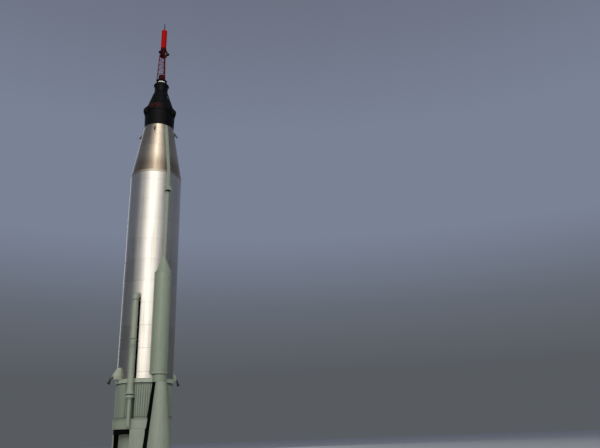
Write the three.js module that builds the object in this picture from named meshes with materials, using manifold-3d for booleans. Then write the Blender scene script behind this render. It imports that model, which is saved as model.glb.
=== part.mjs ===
// A liquid-fuelled stage-and-a-half launcher with a crew capsule and an escape tower, in millimetres.
// +Z is up. The origin is on the long axis, on the flat cover under the centre engine.
// The front is -Y, the rear +Y, the right +X and the left -X.
import * as THREE from 'three';
import { mergeVertices } from 'three/addons/utils/BufferGeometryUtils.js';
import Module from 'manifold-3d';

const wasm = await Module();
wasm.setup();

// Driving dimensions. Heights are measured up from the nozzle exit plane.
const gap = 0.3;
const facets = 64;
const tank = { radius: 1524, bottom: 4440, shoulder: 16890, top: 20320, topRadius: 925 };
const endRing = { radius: 1574, bottom: 4440, top: 4650 };
const boost = { radius: 1530, valley: 1498, waves: 80, bottom: 2620, top: 4440 };
const band = { radius: 1575, lip: 1600, lipHeight: 35, bottom: 2120, top: 2620 };
const shield = { radius: 1500, bottom: 1885, top: 2120, lobeStart: 1200, lobeRadius: 460 };
const bay = { bottom: 800, outer: 1575, inner: 1500, panel: 900, thick: 30 };
const baySkin = { start: 22.5, end: 50.625 };
const nacelle = { centre: 1800, topRadius: 300, bottomRadius: 657, wall: 30 };
const root = { start: 1350, topHalf: 345, bottomHalf: 720 };
const pod = { centre: 1500, radius: 470, bottom: 4850, shoulder: 10500, apex: 11600, apexRadius: 30 };
const foot = { centre: 1620, radius: 370, bottom: 4440, top: 4850 };
const raceway = { outer: 1585, halfWidth: 75, bottom: 10900, top: 15540 };
const coneRaceway = { bottom: 15900, top: 20290, halfWidth: 95, proud: 70, sunk: 60 };
const engine = { distance: 1650, exit: 50, exitRadius: 574, throat: 1330, throatRadius: 205, wall: 25 };
const centre = { exit: 20, exitRadius: 600, throat: 1420, throatRadius: 150, wall: 25, coverRadius: 640 };
const gimbal = { pivot: 1780, plate: 1860, earIn: 95, earOut: 125, earRadius: 45, pin: 20, hole: 21 };
const vernier = { axis: 4740, face: 1880, halfWidth: 130, head: 1960, headRadius: 75, cant: 25 };
const vernierPin = { radius: 45, socketEnd: 1800, end: 1805 };
const adapter = { bottomRadius: 910, topRadius: 945, top: 21450 };
const capsule = { rim: 945, rimTop: 21520, neckRadius: 430, coneTop: 23090, neckTop: 23420 };
const antenna = { lip: 490, lipBottom: 23580, lipTop: 23640, topRadius: 310, top: 23800 };
const towerRing = { radius: 250, top: 23920 };
const tower = { foot: 24010, footRadius: 320, head: 26000, headRadius: 222, leg: 23, brace: 11, turn: -111 };
const escape = { cant: 28, start: 120, height: 26500 };
const motor = { radius: 180, bottom: 26610, top: 28050, capTop: 28100, capRadius: 100 };
const spike = { radius: 30, tipRadius: 10, tip: 28700 };
const pipe = { out: 1744, radius: 165, lip: 183, feedRadius: 100, angle: -52 };
const lug = { halfWidth: 14, eyeRadius: 20, eyeOut: 1185, eyeHeight: 19765 };

// Lies well inside the launcher; a piece that starts here is cut back to the skin.
const buried = 1400;
// Past the edge of any piece that a cutting block has to clear.
const beyond = 1000;

// Colours, roughness and metalness of the finishes.
const finishes = {
  steel: { color: 0xb9b4aa, roughness: 0.28, metalness: 1 },
  coneSteel: { color: 0xa39a8c, roughness: 0.36, metalness: 1 },
  paint: { color: 0x8b9a86, roughness: 0.55, metalness: 0.1 },
  palePaint: { color: 0xa9b3a2, roughness: 0.55, metalness: 0.1 },
  black: { color: 0x14151a, roughness: 0.5, metalness: 0.2 },
  shieldBlack: { color: 0x0b0b0c, roughness: 0.85, metalness: 0 },
  engineMetal: { color: 0x55534f, roughness: 0.4, metalness: 0.9 },
  darkNozzle: { color: 0x2a2422, roughness: 0.5, metalness: 0.6 },
  red: { color: 0xb01c14, roughness: 0.4, metalness: 0 },
  darkRed: { color: 0x6a1512, roughness: 0.5, metalness: 0 },
  white: { color: 0xd9d8d2, roughness: 0.5, metalness: 0 },
};

const radians = (degrees) => (degrees * Math.PI) / 180;

// Welds a geometry's shared corners, drops empty faces and turns it right side out.
function welded(geometry) {
  const bare = geometry.clone();
  bare.deleteAttribute('normal');
  bare.deleteAttribute('uv');
  const joined = mergeVertices(bare, 0.005);
  const place = joined.attributes.position;
  const index = joined.index.array;
  const corners = [0, 1, 2].map(() => new THREE.Vector3());
  const kept = [];
  let volume = 0;
  for (let i = 0; i < index.length; i += 3) {
    const [a, b, c] = [index[i], index[i + 1], index[i + 2]];
    if (a === b || b === c || a === c) continue;
    kept.push(a, b, c);
    corners.forEach((corner, k) => corner.fromBufferAttribute(place, index[i + k]));
    volume += corners[0].dot(corners[1].cross(corners[2]));
  }
  if (volume < 0) kept.reverse();
  joined.setIndex(kept);
  return joined;
}

function toSolid(geometry) {
  const whole = welded(geometry);
  return new wasm.Manifold(new wasm.Mesh({
    numProp: 3,
    vertProperties: new Float32Array(whole.attributes.position.array),
    triVerts: new Uint32Array(whole.index.array),
  }));
}

function toGeometry(solid) {
  const mesh = solid.getMesh();
  const geometry = new THREE.BufferGeometry();
  const places = [];
  for (let i = 0; i < mesh.vertProperties.length; i += mesh.numProp) {
    places.push(mesh.vertProperties[i], mesh.vertProperties[i + 1], mesh.vertProperties[i + 2]);
  }
  geometry.setAttribute('position', new THREE.Float32BufferAttribute(places, 3));
  geometry.setIndex(Array.from(mesh.triVerts));
  return geometry;
}

function cut(geometry, ...tools) {
  return toGeometry(tools.reduce((solid, tool) => solid.subtract(toSolid(tool)), toSolid(geometry)));
}

function join(first, ...others) {
  return toGeometry(others.reduce((solid, other) => solid.add(toSolid(other)), toSolid(first)));
}

// Turns a closed outline of [radius, height] points about the Z axis.
function turned(outline, segments = facets) {
  const points = outline.map(([radius, height]) => new THREE.Vector2(radius, height));
  return new THREE.LatheGeometry(points, segments).rotateX(Math.PI / 2);
}

// A ring of rectangular section.
function ring(inner, outer, bottom, top, segments = facets) {
  return turned([[inner, bottom], [outer, bottom], [outer, top], [inner, top], [inner, bottom]], segments);
}

function drum(radius, bottom, top, segments = facets) {
  return turned([[0, bottom], [radius, bottom], [radius, top], [0, top]], segments);
}

// Extrudes an outline of [x, y] points from one height to another.
function raised(outline, bottom, top) {
  const shape = new THREE.Shape(outline.map(([x, y]) => new THREE.Vector2(x, y)));
  const solid = new THREE.ExtrudeGeometry(shape, { depth: top - bottom, bevelEnabled: false });
  return solid.translate(0, 0, bottom);
}

// Extrudes a side outline of [distance from the axis, height] points to both sides of the XZ plane.
function slab(outline, halfWidth) {
  const shape = new THREE.Shape(outline.map(([x, z]) => new THREE.Vector2(x, z)));
  const solid = new THREE.ExtrudeGeometry(shape, { depth: 2 * halfWidth, bevelEnabled: false });
  return solid.translate(0, 0, -halfWidth).rotateX(Math.PI / 2);
}

function block(xFrom, xTo, yFrom, yTo, zFrom, zTo) {
  const box = new THREE.BoxGeometry(xTo - xFrom, yTo - yFrom, zTo - zFrom);
  return box.translate((xFrom + xTo) / 2, (yFrom + yTo) / 2, (zFrom + zTo) / 2);
}

// A straight tube or cone between two points.
function rod(from, to, radius, endRadius = radius, segments = 12) {
  const start = new THREE.Vector3(...from);
  const along = new THREE.Vector3(...to).sub(start);
  const geometry = new THREE.CylinderGeometry(endRadius, radius, along.length(), segments);
  const turn = new THREE.Quaternion().setFromUnitVectors(
    new THREE.Vector3(0, 1, 0),
    along.clone().normalize(),
  );
  return geometry.applyQuaternion(turn).translate(...start.addScaledVector(along, 0.5).toArray());
}

function ball(x, y, z, radius, segments = 16) {
  return new THREE.SphereGeometry(radius, segments, segments / 2).rotateX(Math.PI / 2).translate(x, y, z);
}

// The whole outer skin of the launcher, one gap larger, used to fit pieces against it.
// Its facets are turned back by the angle of the group that the fitted piece stands in.
function bodySkin(angle) {
  const boostSkin = (boost.radius + gap) / Math.cos(Math.PI / facets);
  const outline = [
    [0, bay.bottom - 200],
    [bay.outer + gap, bay.bottom - 200],
    [bay.outer + gap, band.bottom - gap],
    [band.lip + gap, band.bottom - gap],
    [band.lip + gap, band.top + gap],
    [boostSkin, band.top + gap],
    [boostSkin, boost.top],
    [tank.radius + gap, boost.top],
    [tank.radius + gap, tank.shoulder],
    [tank.topRadius + gap, tank.top],
    [0, tank.top],
  ];
  return turned(outline).rotateZ(-turnFor(angle));
}

// A group stands its pieces, built along +X, at an angle measured from the front towards the right.
function turnFor(angle) {
  return radians(angle - 90);
}

const vehicle = new THREE.Group();

function station(angle) {
  const group = new THREE.Group();
  group.rotation.z = turnFor(angle);
  group.userData.angle = angle;
  vehicle.add(group);
  return group;
}

function addPiece(group, name, geometry, finish) {
  const mesh = new THREE.Mesh(welded(geometry), new THREE.MeshStandardMaterial(finishes[finish]));
  mesh.name = name;
  group.add(mesh);
}

// Tank: a straight cylinder, a long cone above it and an end ring at its foot.
function tankPieces() {
  addPiece(vehicle, 'tank_cylinder', drum(tank.radius, tank.bottom, tank.shoulder - gap), 'steel');
  const cone = [
    [0, tank.shoulder],
    [tank.radius, tank.shoulder],
    [tank.topRadius, tank.top],
    [0, tank.top],
  ];
  addPiece(vehicle, 'tank_cone', turned(cone), 'coneSteel');
  const end = ring(tank.radius + gap, endRing.radius, endRing.bottom, endRing.top);
  addPiece(vehicle, 'tank_end_ring', end, 'paint');
}

// Booster section: corrugated skirt, smooth band under it and the black heat shield.
function boostPieces() {
  const outline = [];
  const quarter = (2 * Math.PI) / boost.waves / 4;
  for (let wave = 0; wave < boost.waves; wave += 1) {
    const radii = [boost.radius, boost.radius, boost.valley, boost.valley];
    radii.forEach((radius, step) => {
      const angle = (4 * wave + step) * quarter;
      outline.push([radius * Math.cos(angle), radius * Math.sin(angle)]);
    });
  }
  addPiece(vehicle, 'boost_skirt', raised(outline, boost.bottom + gap, boost.top - gap), 'paint');

  const bandOutline = [
    [0, band.bottom],
    [band.radius, band.bottom],
    [band.radius, band.top - band.lipHeight],
    [band.lip, band.top - band.lipHeight],
    [band.lip, band.top],
    [0, band.top],
  ];
  addPiece(vehicle, 'boost_band', turned(bandOutline), 'palePaint');

  const { bottom, lobeStart, lobeRadius } = shield;
  const top = shield.top - gap;
  const disc = drum(shield.radius, bottom, top);
  const lobes = [0, 180].map((angle) => {
    const end = drum(lobeRadius, bottom, top, 24).translate(nacelle.centre, 0, 0);
    const neck = block(lobeStart, nacelle.centre, -lobeRadius, lobeRadius, bottom, top);
    return join(neck, end).rotateZ(turnFor(angle));
  });
  addPiece(vehicle, 'heat_shield', join(disc, ...lobes), 'shieldBlack');
}

// Engine bay walls: a curved skin beside each nacelle and a flat panel set in between them.
function bayWalls() {
  const step = 360 / facets;
  const arc = (radius, from, to) => {
    const count = Math.round(Math.abs(to - from) / step);
    return Array.from({ length: count + 1 }, (_, i) => {
      const angle = radians(from + ((to - from) * i) / count);
      return [radius * Math.sin(angle), radius * Math.cos(angle)];
    });
  };
  const mirrored = (points) => points.map(([x, y]) => [x, -y]).reverse();
  const { outer, inner, panel, thick } = bay;
  const outerArc = arc(outer, baySkin.start, baySkin.end);
  const innerArc = arc(inner + gap, baySkin.end - step, baySkin.start);
  const cornerY = inner * Math.cos(radians(baySkin.end));
  const outside = [...outerArc, [panel, cornerY - thick]];
  const inside = [[panel - thick, cornerY], ...innerArc];
  const outline = [...outside, ...mirrored(outside), ...mirrored(inside), ...inside];
  ['right', 'left'].forEach((side, i) => {
    const wall = raised(outline, bay.bottom, shield.top - gap);
    const disc = drum(shield.radius + gap, shield.bottom - gap, band.top);
    addPiece(station(90 - 180 * i), `bay_wall_${side}`, cut(wall, disc), 'palePaint');
  });
}

// A block whose half width changes along its height and with its distance from the axis.
function taperedBlock(near, far, bottom, top, nearHalf, farHalf) {
  const places = [];
  [bottom, top].forEach((z, k) => {
    places.push([near, -nearHalf[k], z], [far, -farHalf[k], z]);
    places.push([far, farHalf[k], z], [near, nearHalf[k], z]);
  });
  const faces = [
    0, 2, 1, 0, 3, 2, 4, 5, 6, 4, 6, 7, 0, 1, 5, 0, 5, 4,
    1, 2, 6, 1, 6, 5, 2, 3, 7, 2, 7, 6, 3, 0, 4, 3, 4, 7,
  ];
  const geometry = new THREE.BufferGeometry();
  geometry.setAttribute('position', new THREE.Float32BufferAttribute(places.flat(), 3));
  geometry.setIndex(faces);
  return geometry;
}

// Engine nacelle: a half cone that widens downwards, on a black root with flat flanks.
function nacellePieces(group, side) {
  const { centre: middle, topRadius, bottomRadius, wall } = nacelle;
  const { start, topHalf, bottomHalf } = root;
  const bottom = bay.bottom;
  const top = boost.top - gap;
  const under = bottom - 50;
  const roof = shield.top + gap;
  const outer = (z) => bottomRadius + ((topRadius - bottomRadius) * (z - bottom)) / (top - bottom);
  const inner = (z) => bottomHalf + ((topHalf - bottomHalf) * (z - bottom)) / (top - bottom);
  const cone = rod([middle, 0, bottom], [middle, 0, top], bottomRadius, topRadius, 40);
  const hollow = rod([middle, 0, under], [middle, 0, roof], outer(under) - wall, outer(roof) - wall, 40);
  const inboard = block(0, middle + gap, -beyond, beyond, 0, tank.shoulder);
  addPiece(group, `nacelle_${side}`, cut(cone, hollow, inboard), 'palePaint');

  const flanks = taperedBlock(start, middle, bottom, top, [bottomHalf, topHalf], [bottomRadius, topRadius]);
  const nearHalf = [inner(under) - wall, inner(roof) - wall];
  const farHalf = [outer(under) - wall, outer(roof) - wall];
  const inside = taperedBlock(start - 10, middle + 10, under, roof, nearHalf, farHalf);
  const skin = bodySkin(group.userData.angle);
  addPiece(group, `nacelle_root_${side}`, cut(flanks, inside, skin), 'black');
}

// Equipment pod on the tank's flank, with the smaller foot that leads down to the nacelle.
function podPieces(group, side) {
  const skin = bodySkin(group.userData.angle);
  addPiece(group, `pod_${side}`, cut(podShape(0), skin), 'paint');
  const end = drum(foot.radius, foot.bottom, foot.top - gap, 32).translate(foot.centre, 0, 0);
  const clear = drum(endRing.radius + gap, 0, foot.top + gap).rotateZ(-turnFor(group.userData.angle));
  addPiece(group, `pod_foot_${side}`, cut(end, clear), 'paint');
}

function podShape(extra) {
  const outline = [
    [0, pod.bottom],
    [pod.radius + extra, pod.bottom],
    [pod.radius + extra, pod.shoulder],
    [pod.apexRadius + extra, pod.apex],
    [0, pod.apex],
  ];
  return turned(outline, 36).translate(pod.centre, 0, 0);
}

// Cable raceway from the pod up the tank.
function racewayPieces(group, side) {
  const { outer, halfWidth, bottom, top } = raceway;
  const skin = bodySkin(group.userData.angle);
  const duct = block(buried, outer, -halfWidth, halfWidth, bottom, top);
  addPiece(group, `raceway_${side}`, cut(duct, skin, podShape(gap)), 'paint');
}

// Valve fairing above the front raceway and the raceway that goes on up the cone.
function frontRaceway(group) {
  const skin = bodySkin(group.userData.angle);
  const slope = (tank.radius - tank.topRadius) / (tank.top - tank.shoulder);
  const { bottom, top, proud, sunk } = coneRaceway;
  const highRadius = tank.topRadius + slope * (tank.top - top);
  const outline = [
    [buried, bottom + gap],
    [tank.radius + proud, bottom + gap],
    [tank.radius + proud, tank.shoulder],
    [highRadius + proud, top],
    [highRadius - sunk, top],
    [buried, tank.shoulder],
  ];
  addPiece(group, 'raceway_cone', cut(slab(outline, coneRaceway.halfWidth), skin), 'paint');
  const bump = [[buried, 15550], [1760, 15550], [1760, 15640], [1640, bottom], [buried, bottom]];
  addPiece(group, 'valve_fairing', cut(slab(bump, 160), skin), 'paint');
}

// Oxidiser line down the flank: elbow out of the tank, two straight lengths, a cone and the feed pipe.
function oxidiserLine() {
  const group = station(pipe.angle);
  const skin = bodySkin(pipe.angle);
  const { out, radius, lip, feedRadius } = pipe;
  const [feedEnd, feedTop, flareTop, joint, bendBottom, bendStart] = [2200, 3650, 4400, 6700, 8850, 8920];
  const upright = (r, from, to) => drum(r, from, to, 20).translate(out, 0, 0);
  addPiece(group, 'lox_elbow', cut(pipeBend(bendBottom, bendStart), skin), 'palePaint');
  const upper = join(
    upright(radius, joint + gap, bendBottom - gap),
    upright(lip, bendBottom - 60, bendBottom - gap),
  );
  addPiece(group, 'lox_line_upper', cut(upper, skin), 'palePaint');
  const lower = join(upright(radius, flareTop, joint), upright(lip, joint - 60, joint));
  addPiece(group, 'lox_line_lower', lower, 'palePaint');
  const flareOutline = [
    [0, feedTop],
    [215, feedTop],
    [215, 3780],
    [190, 3790],
    [190, 3820],
    [225, 3830],
    [225, 3900],
    [200, 3920],
    [radius, 4250],
    [radius, flareTop - gap],
    [0, flareTop - gap],
  ];
  const flare = turned(flareOutline, 24);
  addPiece(group, 'lox_cone', cut(flare.translate(out, 0, 0), skin), 'palePaint');
  const feed = join(
    upright(feedRadius, feedEnd, feedTop - gap),
    ball(out, 0, feedEnd, feedRadius, 20),
    rod([buried, 0, feedEnd], [out, 0, feedEnd], feedRadius, feedRadius, 20),
    block(buried, out, -40, 40, 2350, 2410),
    block(buried, out, -40, 40, 3060, 3120),
  );
  addPiece(group, 'lox_feed_pipe', cut(feed, skin), 'palePaint');
}

// Upright pipe that bends a quarter turn into the tank.
function pipeBend(bottom, bendStart) {
  const { out, radius } = pipe;
  const bend = 200;
  const handle = 0.552 * bend;
  const path = new THREE.CubicBezierCurve3(
    new THREE.Vector3(out, 0, bendStart),
    new THREE.Vector3(out, 0, bendStart + handle),
    new THREE.Vector3(out - bend + handle, 0, bendStart + bend),
    new THREE.Vector3(out - bend, 0, bendStart + bend),
  );
  const round = new THREE.Shape(
    Array.from({ length: 20 }, (_, i) => {
      const turn = radians(i * 18);
      return new THREE.Vector2(radius * Math.cos(turn), radius * Math.sin(turn));
    }),
  );
  const curve = new THREE.ExtrudeGeometry(round, { steps: 6, extrudePath: path, bevelEnabled: false });
  const upright = drum(radius, bottom, bendStart + 1, 20).translate(out, 0, 0);
  const level = bendStart + bend;
  return join(curve, upright, rod([buried, 0, level], [out - bend + 1, 0, level], radius, radius, 20));
}

// Side engine: a wedge fairing on the tank and a small nozzle that swivels about the outboard axis.
function vernierPieces(group, side) {
  const skin = bodySkin(group.userData.angle);
  const outline = [
    [buried, 5280],
    [1620, 5260],
    [vernier.face, 4900],
    [vernier.face, vernier.axis - 50],
    [1840, endRing.top + gap],
    [buried, endRing.top + gap],
  ];
  const { axis, face, head, headRadius, cant } = vernier;
  const { radius, socketEnd, end } = vernierPin;
  const socket = rod([socketEnd, 0, axis], [face + 10, 0, axis], radius + 1, radius + 1, 20);
  addPiece(group, `vernier_fairing_${side}`, cut(slab(outline, vernier.halfWidth), skin, socket), 'paint');
  const bell = [
    [0, -60], [60, -60], [42, -120], [45, -150], [90, -340], [82, -340], [37, -150], [0, -150],
  ];
  const chamber = turned(bell, 16).rotateY(-radians(cant)).translate(head, 0, axis);
  const swivel = rod([end, 0, axis], [head, 0, axis], radius, radius, 12);
  const nozzle = join(ball(head, 0, axis, headRadius, 12), swivel, chamber);
  addPiece(group, `vernier_nozzle_${side}`, nozzle, 'darkNozzle');
}

// Radius of a bell between its throat and its exit.
function bellRadius(bell, height) {
  const share = (bell.throat - height) / (bell.throat - bell.exit);
  return bell.throatRadius + (bell.exitRadius - bell.throatRadius) * share ** 0.7;
}

function bellShape(bell, chamberTop, capOutline) {
  const steps = 6;
  const rise = (bell.throat - bell.exit) / steps;
  const heights = Array.from({ length: steps + 1 }, (_, i) => bell.exit + rise * i);
  const inner = heights.map((z) => [bellRadius(bell, z), z]).reverse();
  const outer = heights.map((z) => [bellRadius(bell, z) + bell.wall, z]);
  const chamber = bell.throatRadius + 50;
  const outline = [
    [0, chamberTop],
    [chamber - 20, chamberTop],
    [chamber, bell.throat + 110],
    ...inner,
    ...outer,
    [chamber + bell.wall, bell.throat + 110],
    ...capOutline,
  ];
  return turned(outline, 24);
}

// Booster engine: gimbal bracket under the heat shield, cross, and the bell with its head ears.
function enginePieces(group, side) {
  const { pivot, plate, earIn, earOut, earRadius, pin, hole } = gimbal;
  const x = engine.distance;
  const ear = (z, up) => {
    const arc = Array.from({ length: 9 }, (_, i) => {
      const turn = Math.PI * (i / 8);
      return [earRadius * Math.cos(turn), up * earRadius * Math.sin(turn)];
    });
    return [...arc, [-earRadius, z], [earRadius, z]];
  };
  const fixedEar = raised(ear(plate - pivot + 10, -1), earIn, earOut).rotateX(Math.PI / 2);
  const bracket = cut(
    join(
      block(-150, 150, -150, 150, plate, shield.bottom - gap),
      fixedEar.clone().translate(0, 0, pivot),
      fixedEar.clone().translate(0, earIn + earOut, pivot),
    ),
    rod([0, -200, pivot], [0, 200, pivot], hole, hole, 16),
  );
  addPiece(group, `gimbal_bracket_${side}`, bracket.translate(x, 0, 0), 'engineMetal');

  const cross = join(
    block(-50, 50, -50, 50, pivot - 38, pivot + 38),
    rod([0, -earOut, pivot], [0, earOut, pivot], pin, pin, 16),
    rod([-earOut, 0, pivot], [earOut, 0, pivot], pin, pin, 16),
  );
  addPiece(group, `gimbal_cross_${side}`, cross.translate(x, 0, 0), 'engineMetal');

  const headTop = pivot - 80;
  const cap = [[engine.throatRadius + 75, headTop - 60], [150, headTop], [0, headTop]];
  const shell = bellShape(engine, headTop - 110, cap);
  const uprightEar = raised(ear(headTop - pivot - 10, 1), earIn, earOut).rotateX(Math.PI / 2);
  const movingEar = uprightEar.rotateZ(Math.PI / 2);
  const bell = cut(
    join(
      shell,
      movingEar.clone().translate(0, 0, pivot),
      movingEar.clone().translate(-earIn - earOut, 0, pivot),
    ),
    rod([-200, 0, pivot], [200, 0, pivot], hole, hole, 16),
  );
  addPiece(group, `booster_bell_${side}`, bell.translate(x, 0, 0), 'engineMetal');
}

// Centre engine, fixed, with the flat cover over its exit on which the vehicle stands.
function centreEngine() {
  const top = shield.bottom - gap;
  const lifted = { ...centre, exit: centre.exit + gap };
  const cap = [[centre.throatRadius + 90, top - 60], [centre.throatRadius + 60, top], [0, top]];
  const shell = bellShape(lifted, top - 120, cap);
  addPiece(vehicle, 'centre_bell', shell, 'engineMetal');
  addPiece(vehicle, 'centre_cover', drum(centre.coverRadius, 0, centre.exit, 48), 'darkNozzle');
}

// Capsule, its adapter and the clamp ring with three covers over the joint.
function capsulePieces() {
  const skirt = [
    [0, tank.top + gap],
    [adapter.bottomRadius, tank.top + gap],
    [adapter.topRadius, adapter.top],
    [0, adapter.top],
  ];
  addPiece(vehicle, 'adapter', turned(skirt), 'black');
  const base = adapter.top + gap;
  const cone = [
    [0, base],
    [capsule.rim, base],
    [capsule.rim, capsule.rimTop],
    [capsule.neckRadius, capsule.coneTop],
    [0, capsule.coneTop],
  ];
  addPiece(vehicle, 'capsule_cone', turned(cone), 'black');
  const neckBottom = capsule.coneTop + gap;
  addPiece(vehicle, 'capsule_neck', drum(capsule.neckRadius - 10, neckBottom, capsule.neckTop, 32), 'black');
  const housing = [
    [0, capsule.neckTop + gap],
    [capsule.neckRadius - 10, capsule.neckTop + gap],
    [antenna.lip, antenna.lipBottom],
    [antenna.lip, antenna.lipTop],
    [antenna.topRadius, antenna.top],
    [0, antenna.top],
  ];
  addPiece(vehicle, 'antenna_housing', turned(housing, 32), 'black');

  const spread = gap / Math.cos(radians(18));
  const fitted = [
    [0, tank.top],
    [adapter.bottomRadius + gap, tank.top],
    [capsule.rim + gap, adapter.top],
    [capsule.rim + gap, capsule.rimTop],
    [capsule.neckRadius + spread, capsule.coneTop],
    [0, capsule.coneTop],
  ];
  const coverOutline = [[850, 21150], [965, 21150], [1085, 21330], [1085, 21560], [850, 21800]];
  const covers = [-88, 32, 152].map((angle) => slab(coverOutline, 190).rotateZ(turnFor(angle)));
  const clamp = cut(join(drum(975, 21380, 21520), ...covers), turned(fitted));
  addPiece(vehicle, 'clamp_ring', clamp, 'black');
}

// Escape tower: white foot ring, red base, three-legged lattice, nozzle block and nozzles, motor, spike.
function towerPieces() {
  addPiece(vehicle, 'tower_ring', drum(towerRing.radius, antenna.top + gap, towerRing.top, 32), 'white');
  const baseBottom = towerRing.top + gap;
  const baseOutline = [
    [0, baseBottom],
    [345, baseBottom],
    [345, tower.foot],
    [225, tower.foot],
    [225, 24400],
    [120, 24490],
    [0, 24490],
  ];
  addPiece(vehicle, 'tower_base', turned(baseOutline, 24), 'darkRed');
  addPiece(vehicle, 'tower_truss', towerTruss(tower.foot + gap), 'darkRed');

  const blockOutline = [
    [0, tower.head + gap],
    [248, tower.head + gap],
    [248, 26045],
    [140, 26115],
    [140, 26380],
    [motor.radius, 26540],
    [motor.radius, motor.bottom - gap],
    [0, motor.bottom - gap],
  ];
  addPiece(vehicle, 'nozzle_block', turned(blockOutline, 24), 'darkRed');
  const bell = [[0, 0], [82, 0], [82, -110], [58, -160], [108, -430], [96, -430], [46, -170], [0, -170]];
  const blockRoom = blockOutline.map(([r, z]) => [r ? r + gap : 0, z]);
  [53, -67, 173].forEach((angle, i) => {
    const chamber = turned(bell, 18).rotateY(-radians(escape.cant));
    const nozzle = chamber.translate(escape.start, 0, escape.height);
    const fitted = cut(nozzle, turned(blockRoom, 24).rotateZ(-turnFor(angle)));
    addPiece(station(angle), `escape_nozzle_${i + 1}`, fitted, 'darkNozzle');
  });

  const motorOutline = [
    [0, motor.bottom],
    [motor.radius, motor.bottom],
    [motor.radius, motor.top],
    [motor.capRadius, motor.capTop],
    [0, motor.capTop],
  ];
  addPiece(vehicle, 'escape_motor', turned(motorOutline, 24), 'red');
  const point = rod([0, 0, motor.capTop + gap], [0, 0, spike.tip], spike.radius, spike.tipRadius, 12);
  addPiece(vehicle, 'nose_spike', point, 'red');
}

function towerTruss(footHeight) {
  const levels = [24520, 24890, 25260, 25630, tower.head - tower.brace];
  const corner = (z, k) => {
    const share = (z - tower.foot) / (tower.head - tower.foot);
    const radius = tower.footRadius + (tower.headRadius - tower.footRadius) * share;
    const angle = turnFor(tower.turn + 120 * k);
    return [radius * Math.cos(angle), radius * Math.sin(angle), z];
  };
  const rods = [];
  for (let k = 0; k < 3; k += 1) {
    rods.push(rod(corner(footHeight, k), corner(tower.head, k), tower.leg, tower.leg, 6));
    levels.forEach((z, i) => {
      rods.push(rod(corner(z, k), corner(z, k + 1), tower.brace, tower.brace, 4));
      if (i === 0) return;
      rods.push(rod(corner(levels[i - 1], k), corner(z, k + 1), tower.brace, tower.brace, 4));
      rods.push(rod(corner(z, k), corner(levels[i - 1], k + 1), tower.brace, tower.brace, 4));
    });
  }
  const below = drum(beyond, tower.foot - 200, footHeight, 4);
  const above = drum(beyond, tower.head, tower.head + 200, 4);
  return cut(join(...rods), below, above);
}

// Lugs around the top of the tank cone: an arm that slopes down and outwards to an eye.
function stayLugs() {
  const { halfWidth, eyeRadius, eyeOut, eyeHeight } = lug;
  const outline = [
    [880, 19900],
    [1010, 19900],
    [1140, 19730],
    [1190, 19715],
    [1225, 19755],
    [1215, 19805],
    [1000, 20120],
    [880, 20160],
  ];
  [48.5, 138.5, -131.5, -41.5].forEach((angle, i) => {
    const eye = rod([eyeOut, -50, eyeHeight], [eyeOut, 50, eyeHeight], eyeRadius, eyeRadius, 12);
    const fitted = cut(slab(outline, halfWidth), bodySkin(angle), eye);
    addPiece(station(angle), `stay_lug_${i + 1}`, fitted, 'paint');
  });
}

tankPieces();
boostPieces();
bayWalls();
const sides = [['front', station(0)], ['rear', station(180)]];
sides.forEach(([side, group]) => {
  nacellePieces(group, side);
  podPieces(group, side);
  racewayPieces(group, side);
  enginePieces(group, side);
});
frontRaceway(sides[0][1]);
oxidiserLine();
vernierPieces(station(90), 'right');
vernierPieces(station(-90), 'left');
centreEngine();
capsulePieces();
towerPieces();
stayLugs();

export default vehicle;
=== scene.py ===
from math import asin, cos, degrees, floor, pi, radians, sin, tan

import bpy
from mathutils import Matrix, Vector


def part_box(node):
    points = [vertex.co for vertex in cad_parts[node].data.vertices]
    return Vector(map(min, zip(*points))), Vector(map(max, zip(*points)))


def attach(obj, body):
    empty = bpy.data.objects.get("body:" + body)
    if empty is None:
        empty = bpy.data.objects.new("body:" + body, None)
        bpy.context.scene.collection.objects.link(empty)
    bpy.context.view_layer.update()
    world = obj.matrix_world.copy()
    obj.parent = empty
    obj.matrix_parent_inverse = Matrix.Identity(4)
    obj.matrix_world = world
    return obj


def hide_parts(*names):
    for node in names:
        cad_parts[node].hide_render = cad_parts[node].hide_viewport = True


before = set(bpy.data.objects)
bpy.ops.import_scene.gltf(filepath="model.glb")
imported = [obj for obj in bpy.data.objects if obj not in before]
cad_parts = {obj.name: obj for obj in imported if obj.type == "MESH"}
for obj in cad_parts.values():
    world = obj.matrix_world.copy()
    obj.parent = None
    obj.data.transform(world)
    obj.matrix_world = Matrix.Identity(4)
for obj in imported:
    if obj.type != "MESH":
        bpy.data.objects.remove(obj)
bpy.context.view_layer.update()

# The vehicle stands on its long axis, +Z up. Angles go from the front (-Y) towards the right (+X).
# Pieces are built along +X and then stood at their angle.
frontRear = {"front": 0, "rear": 180}
leftRight = {"right": 90, "left": -90}
clearance = 0.0003  # how far a piece stays off the one it meets
tankSteps = 192  # the sides of the rounds that are about as wide as the tank


def ends(node):  # the heights of a node's lower and upper end
    low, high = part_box(node)
    return low.z, high.z


def girth(node):  # how far a node reaches from the axis
    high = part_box(node)[1]
    return max(high.x, high.y)


def values(cuts, *keys):
    return [cuts[key] for key in keys]


# Selecting, naming and settling

def deselect():
    if bpy.context.mode != "OBJECT":
        bpy.ops.object.mode_set(mode="OBJECT")
    bpy.ops.object.select_all(action="DESELECT")


def pick(*objects):
    deselect()
    for obj in objects:
        obj.select_set(True)
    bpy.context.view_layer.objects.active = objects[0]
    return objects[0]


def settle(obj):  # puts the object's own place, turn and size into its mesh
    pick(obj)
    bpy.ops.object.transform_apply(location=True, rotation=True, scale=True)
    return obj


def added(primitive, **settings):  # with nothing else selected
    deselect()
    primitive(**settings)
    return settle(bpy.context.object)


def editAll(obj):
    pick(obj)
    bpy.ops.object.mode_set(mode="EDIT")
    bpy.ops.mesh.select_all(action="SELECT")
    return obj


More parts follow.
